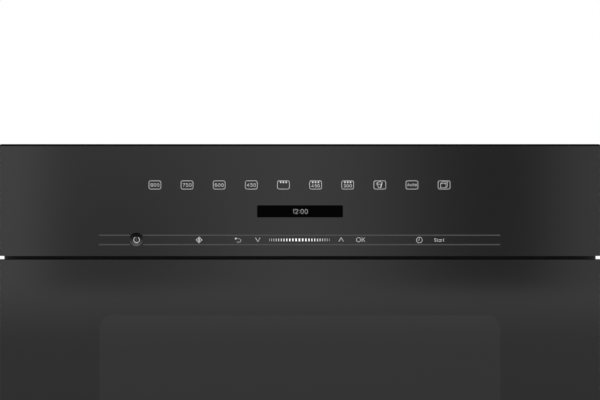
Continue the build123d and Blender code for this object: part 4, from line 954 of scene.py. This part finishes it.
def pale_floor():
    """A matt pale finish, lit more and more beyond the fade."""
    finish = Finish("floor", emission_strength=1.0)
    cloud = finish.noise(scale=3.0)
    finish.colour(finish.mix(cloud, grey(0.56), grey(0.60))).rough(cloud, low=0.5, high=0.6)
    reach = finish.add("ShaderNodeVectorMath", operation="LENGTH")
    finish.feed(reach.inputs[0], finish.place)
    glow = finish.between(reach.outputs["Value"], start=FLOOR_FADE, end=FLOOR_RADIUS)
    finish.feed(finish.socket("emission_color"), finish.mix(glow, grey(0.0), grey(1.0)))
    return finish.material


floor_mesh = bmesh.new()
bmesh.ops.create_circle(floor_mesh, cap_ends=True, segments=FLOOR_STEPS, radius=FLOOR_RADIUS)
floor_data = bpy.data.meshes.new("floor")
floor_mesh.to_mesh(floor_data)
floor_mesh.free()
floor = bpy.data.objects.new("floor", floor_data)
bpy.context.scene.collection.objects.link(floor)
dress(floor, pale_floor())

# Camera square to the fascia. The frame cuts a little off both its ends.
CAMERA_DISTANCE = 1.6
FRAME_CUT = 0.6 * MM
FRAME_WIDTH = FASCIA_WIDTH - 2 * FRAME_CUT
SENSOR_WIDTH_MM = 36.0
camera_data = bpy.data.cameras.new("camera")
camera_data.sensor_width = SENSOR_WIDTH_MM
camera_data.lens = SENSOR_WIDTH_MM * CAMERA_DISTANCE / FRAME_WIDTH
camera = bpy.data.objects.new("camera", camera_data)
camera.location = (0, GLASS_FRONT - CAMERA_DISTANCE, FASCIA_MIDDLE)
camera.rotation_euler = (pi / 2, 0, 0)
bpy.context.scene.collection.objects.link(camera)
bpy.context.scene.camera = camera

# Soft boxes round the object: place, width and height, and power in watts
LIGHT_AIM = Vector((0, 0, 0.25))
LIGHTS = {
    "key_light": ((-0.15, -2.3, 1.80), (3.2, 1.0), 36),
    "fill_light": ((2.4, -0.9, 1.3), (1.4, 1.4), 14),
    "side_light": ((-2.4, -0.4, 1.6), (1.4, 1.4), 14),
    "back_light": ((0.6, 2.4, 2.0), (1.6, 1.6), 20),
}
for name, (place, size, watts) in LIGHTS.items():
    light_data = bpy.data.lights.new(name, "AREA")
    light_data.shape = "RECTANGLE"
    light_data.size, light_data.size_y = size
    light_data.energy = watts
    light = bpy.data.objects.new(name, light_data)
    light.location = place
    light.rotation_euler = (LIGHT_AIM - Vector(place)).to_track_quat("-Z", "Y").to_euler()
    bpy.context.scene.collection.objects.link(light)

# Studio as the glass sees it: soft boxes beside each other in front, dim straight above.
# A box is a middle and a half width across the frame, both in frame widths, and a strength.
# The glow is one more box, which fades downwards. The camera itself sees plain white.
STUDIO_BASE = 0.38
STUDIO_BOXES = ((0.00, 0.13, 0.77), (0.12, 0.35, 0.25), (0.50, 0.33, 0.68), (1.00, 0.145, 0.60))
STUDIO_GLOW = (0.22, 0.30, 0.16)
STUDIO_GLOW_RISE = {"start": -0.034, "end": 0.036}
STUDIO_FACING = {"start": -0.90, "end": -0.97}
LEAST_AHEAD = 0.05
FRAME_CENTRE = 0.5
ZENITH_LEVEL = 0.04
ZENITH_CAP = {"start": 0.72, "end": 0.92}
AMBIENT_LEVEL = 0.45
WHITE = 1.0
SMOOTH = "SMOOTHSTEP"
world = bpy.data.worlds.new("studio")
world.use_nodes = True
bpy.context.scene.world = world
studio = Graph(world.node_tree)


def soft_box(along, middle, half, strength):
    """Light that falls smoothly from strength at the middle to nothing at half from it."""
    away = studio.math("ABSOLUTE", studio.math("SUBTRACT", along, middle))
    return studio.between(away, high=strength, start=half, end=0.0, curve=SMOOTH)


def blend(share, first, second):
    """first where share is 0 and second where it is 1."""
    remainder = studio.math("MULTIPLY", studio.math("SUBTRACT", 1.0, share), first)
    return studio.math("ADD", studio.math("MULTIPLY", share, second), remainder)


axes = studio.axes(studio.add("ShaderNodeTexCoord").outputs["Generated"])
ahead = studio.math("MAXIMUM", studio.math("MULTIPLY", axes["Y"], -1.0), LEAST_AHEAD)
across = studio.math("DIVIDE", axes["X"], ahead)
upward = studio.math("DIVIDE", axes["Z"], ahead)
along = studio.math("ADD", studio.math("MULTIPLY", across, CAMERA_DISTANCE / FRAME_WIDTH), FRAME_CENTRE)
front = STUDIO_BASE
for box in STUDIO_BOXES:
    front = studio.math("ADD", front, soft_box(along, *box))
rise = studio.between(upward, curve=SMOOTH, **STUDIO_GLOW_RISE)
front = studio.math("ADD", front, studio.math("MULTIPLY", rise, soft_box(along, *STUDIO_GLOW)))
facing = studio.between(axes["Y"], curve=SMOOTH, **STUDIO_FACING)
overhead = studio.between(axes["Z"], AMBIENT_LEVEL, ZENITH_LEVEL, curve=SMOOTH, **ZENITH_CAP)
seen = studio.add("ShaderNodeLightPath").outputs["Is Camera Ray"]
background = world.node_tree.nodes["Background"]
studio.feed(background.inputs["Color"], blend(seen, blend(facing, overhead, front), WHITE))

bpy.context.scene.view_settings.view_transform = "Standard"
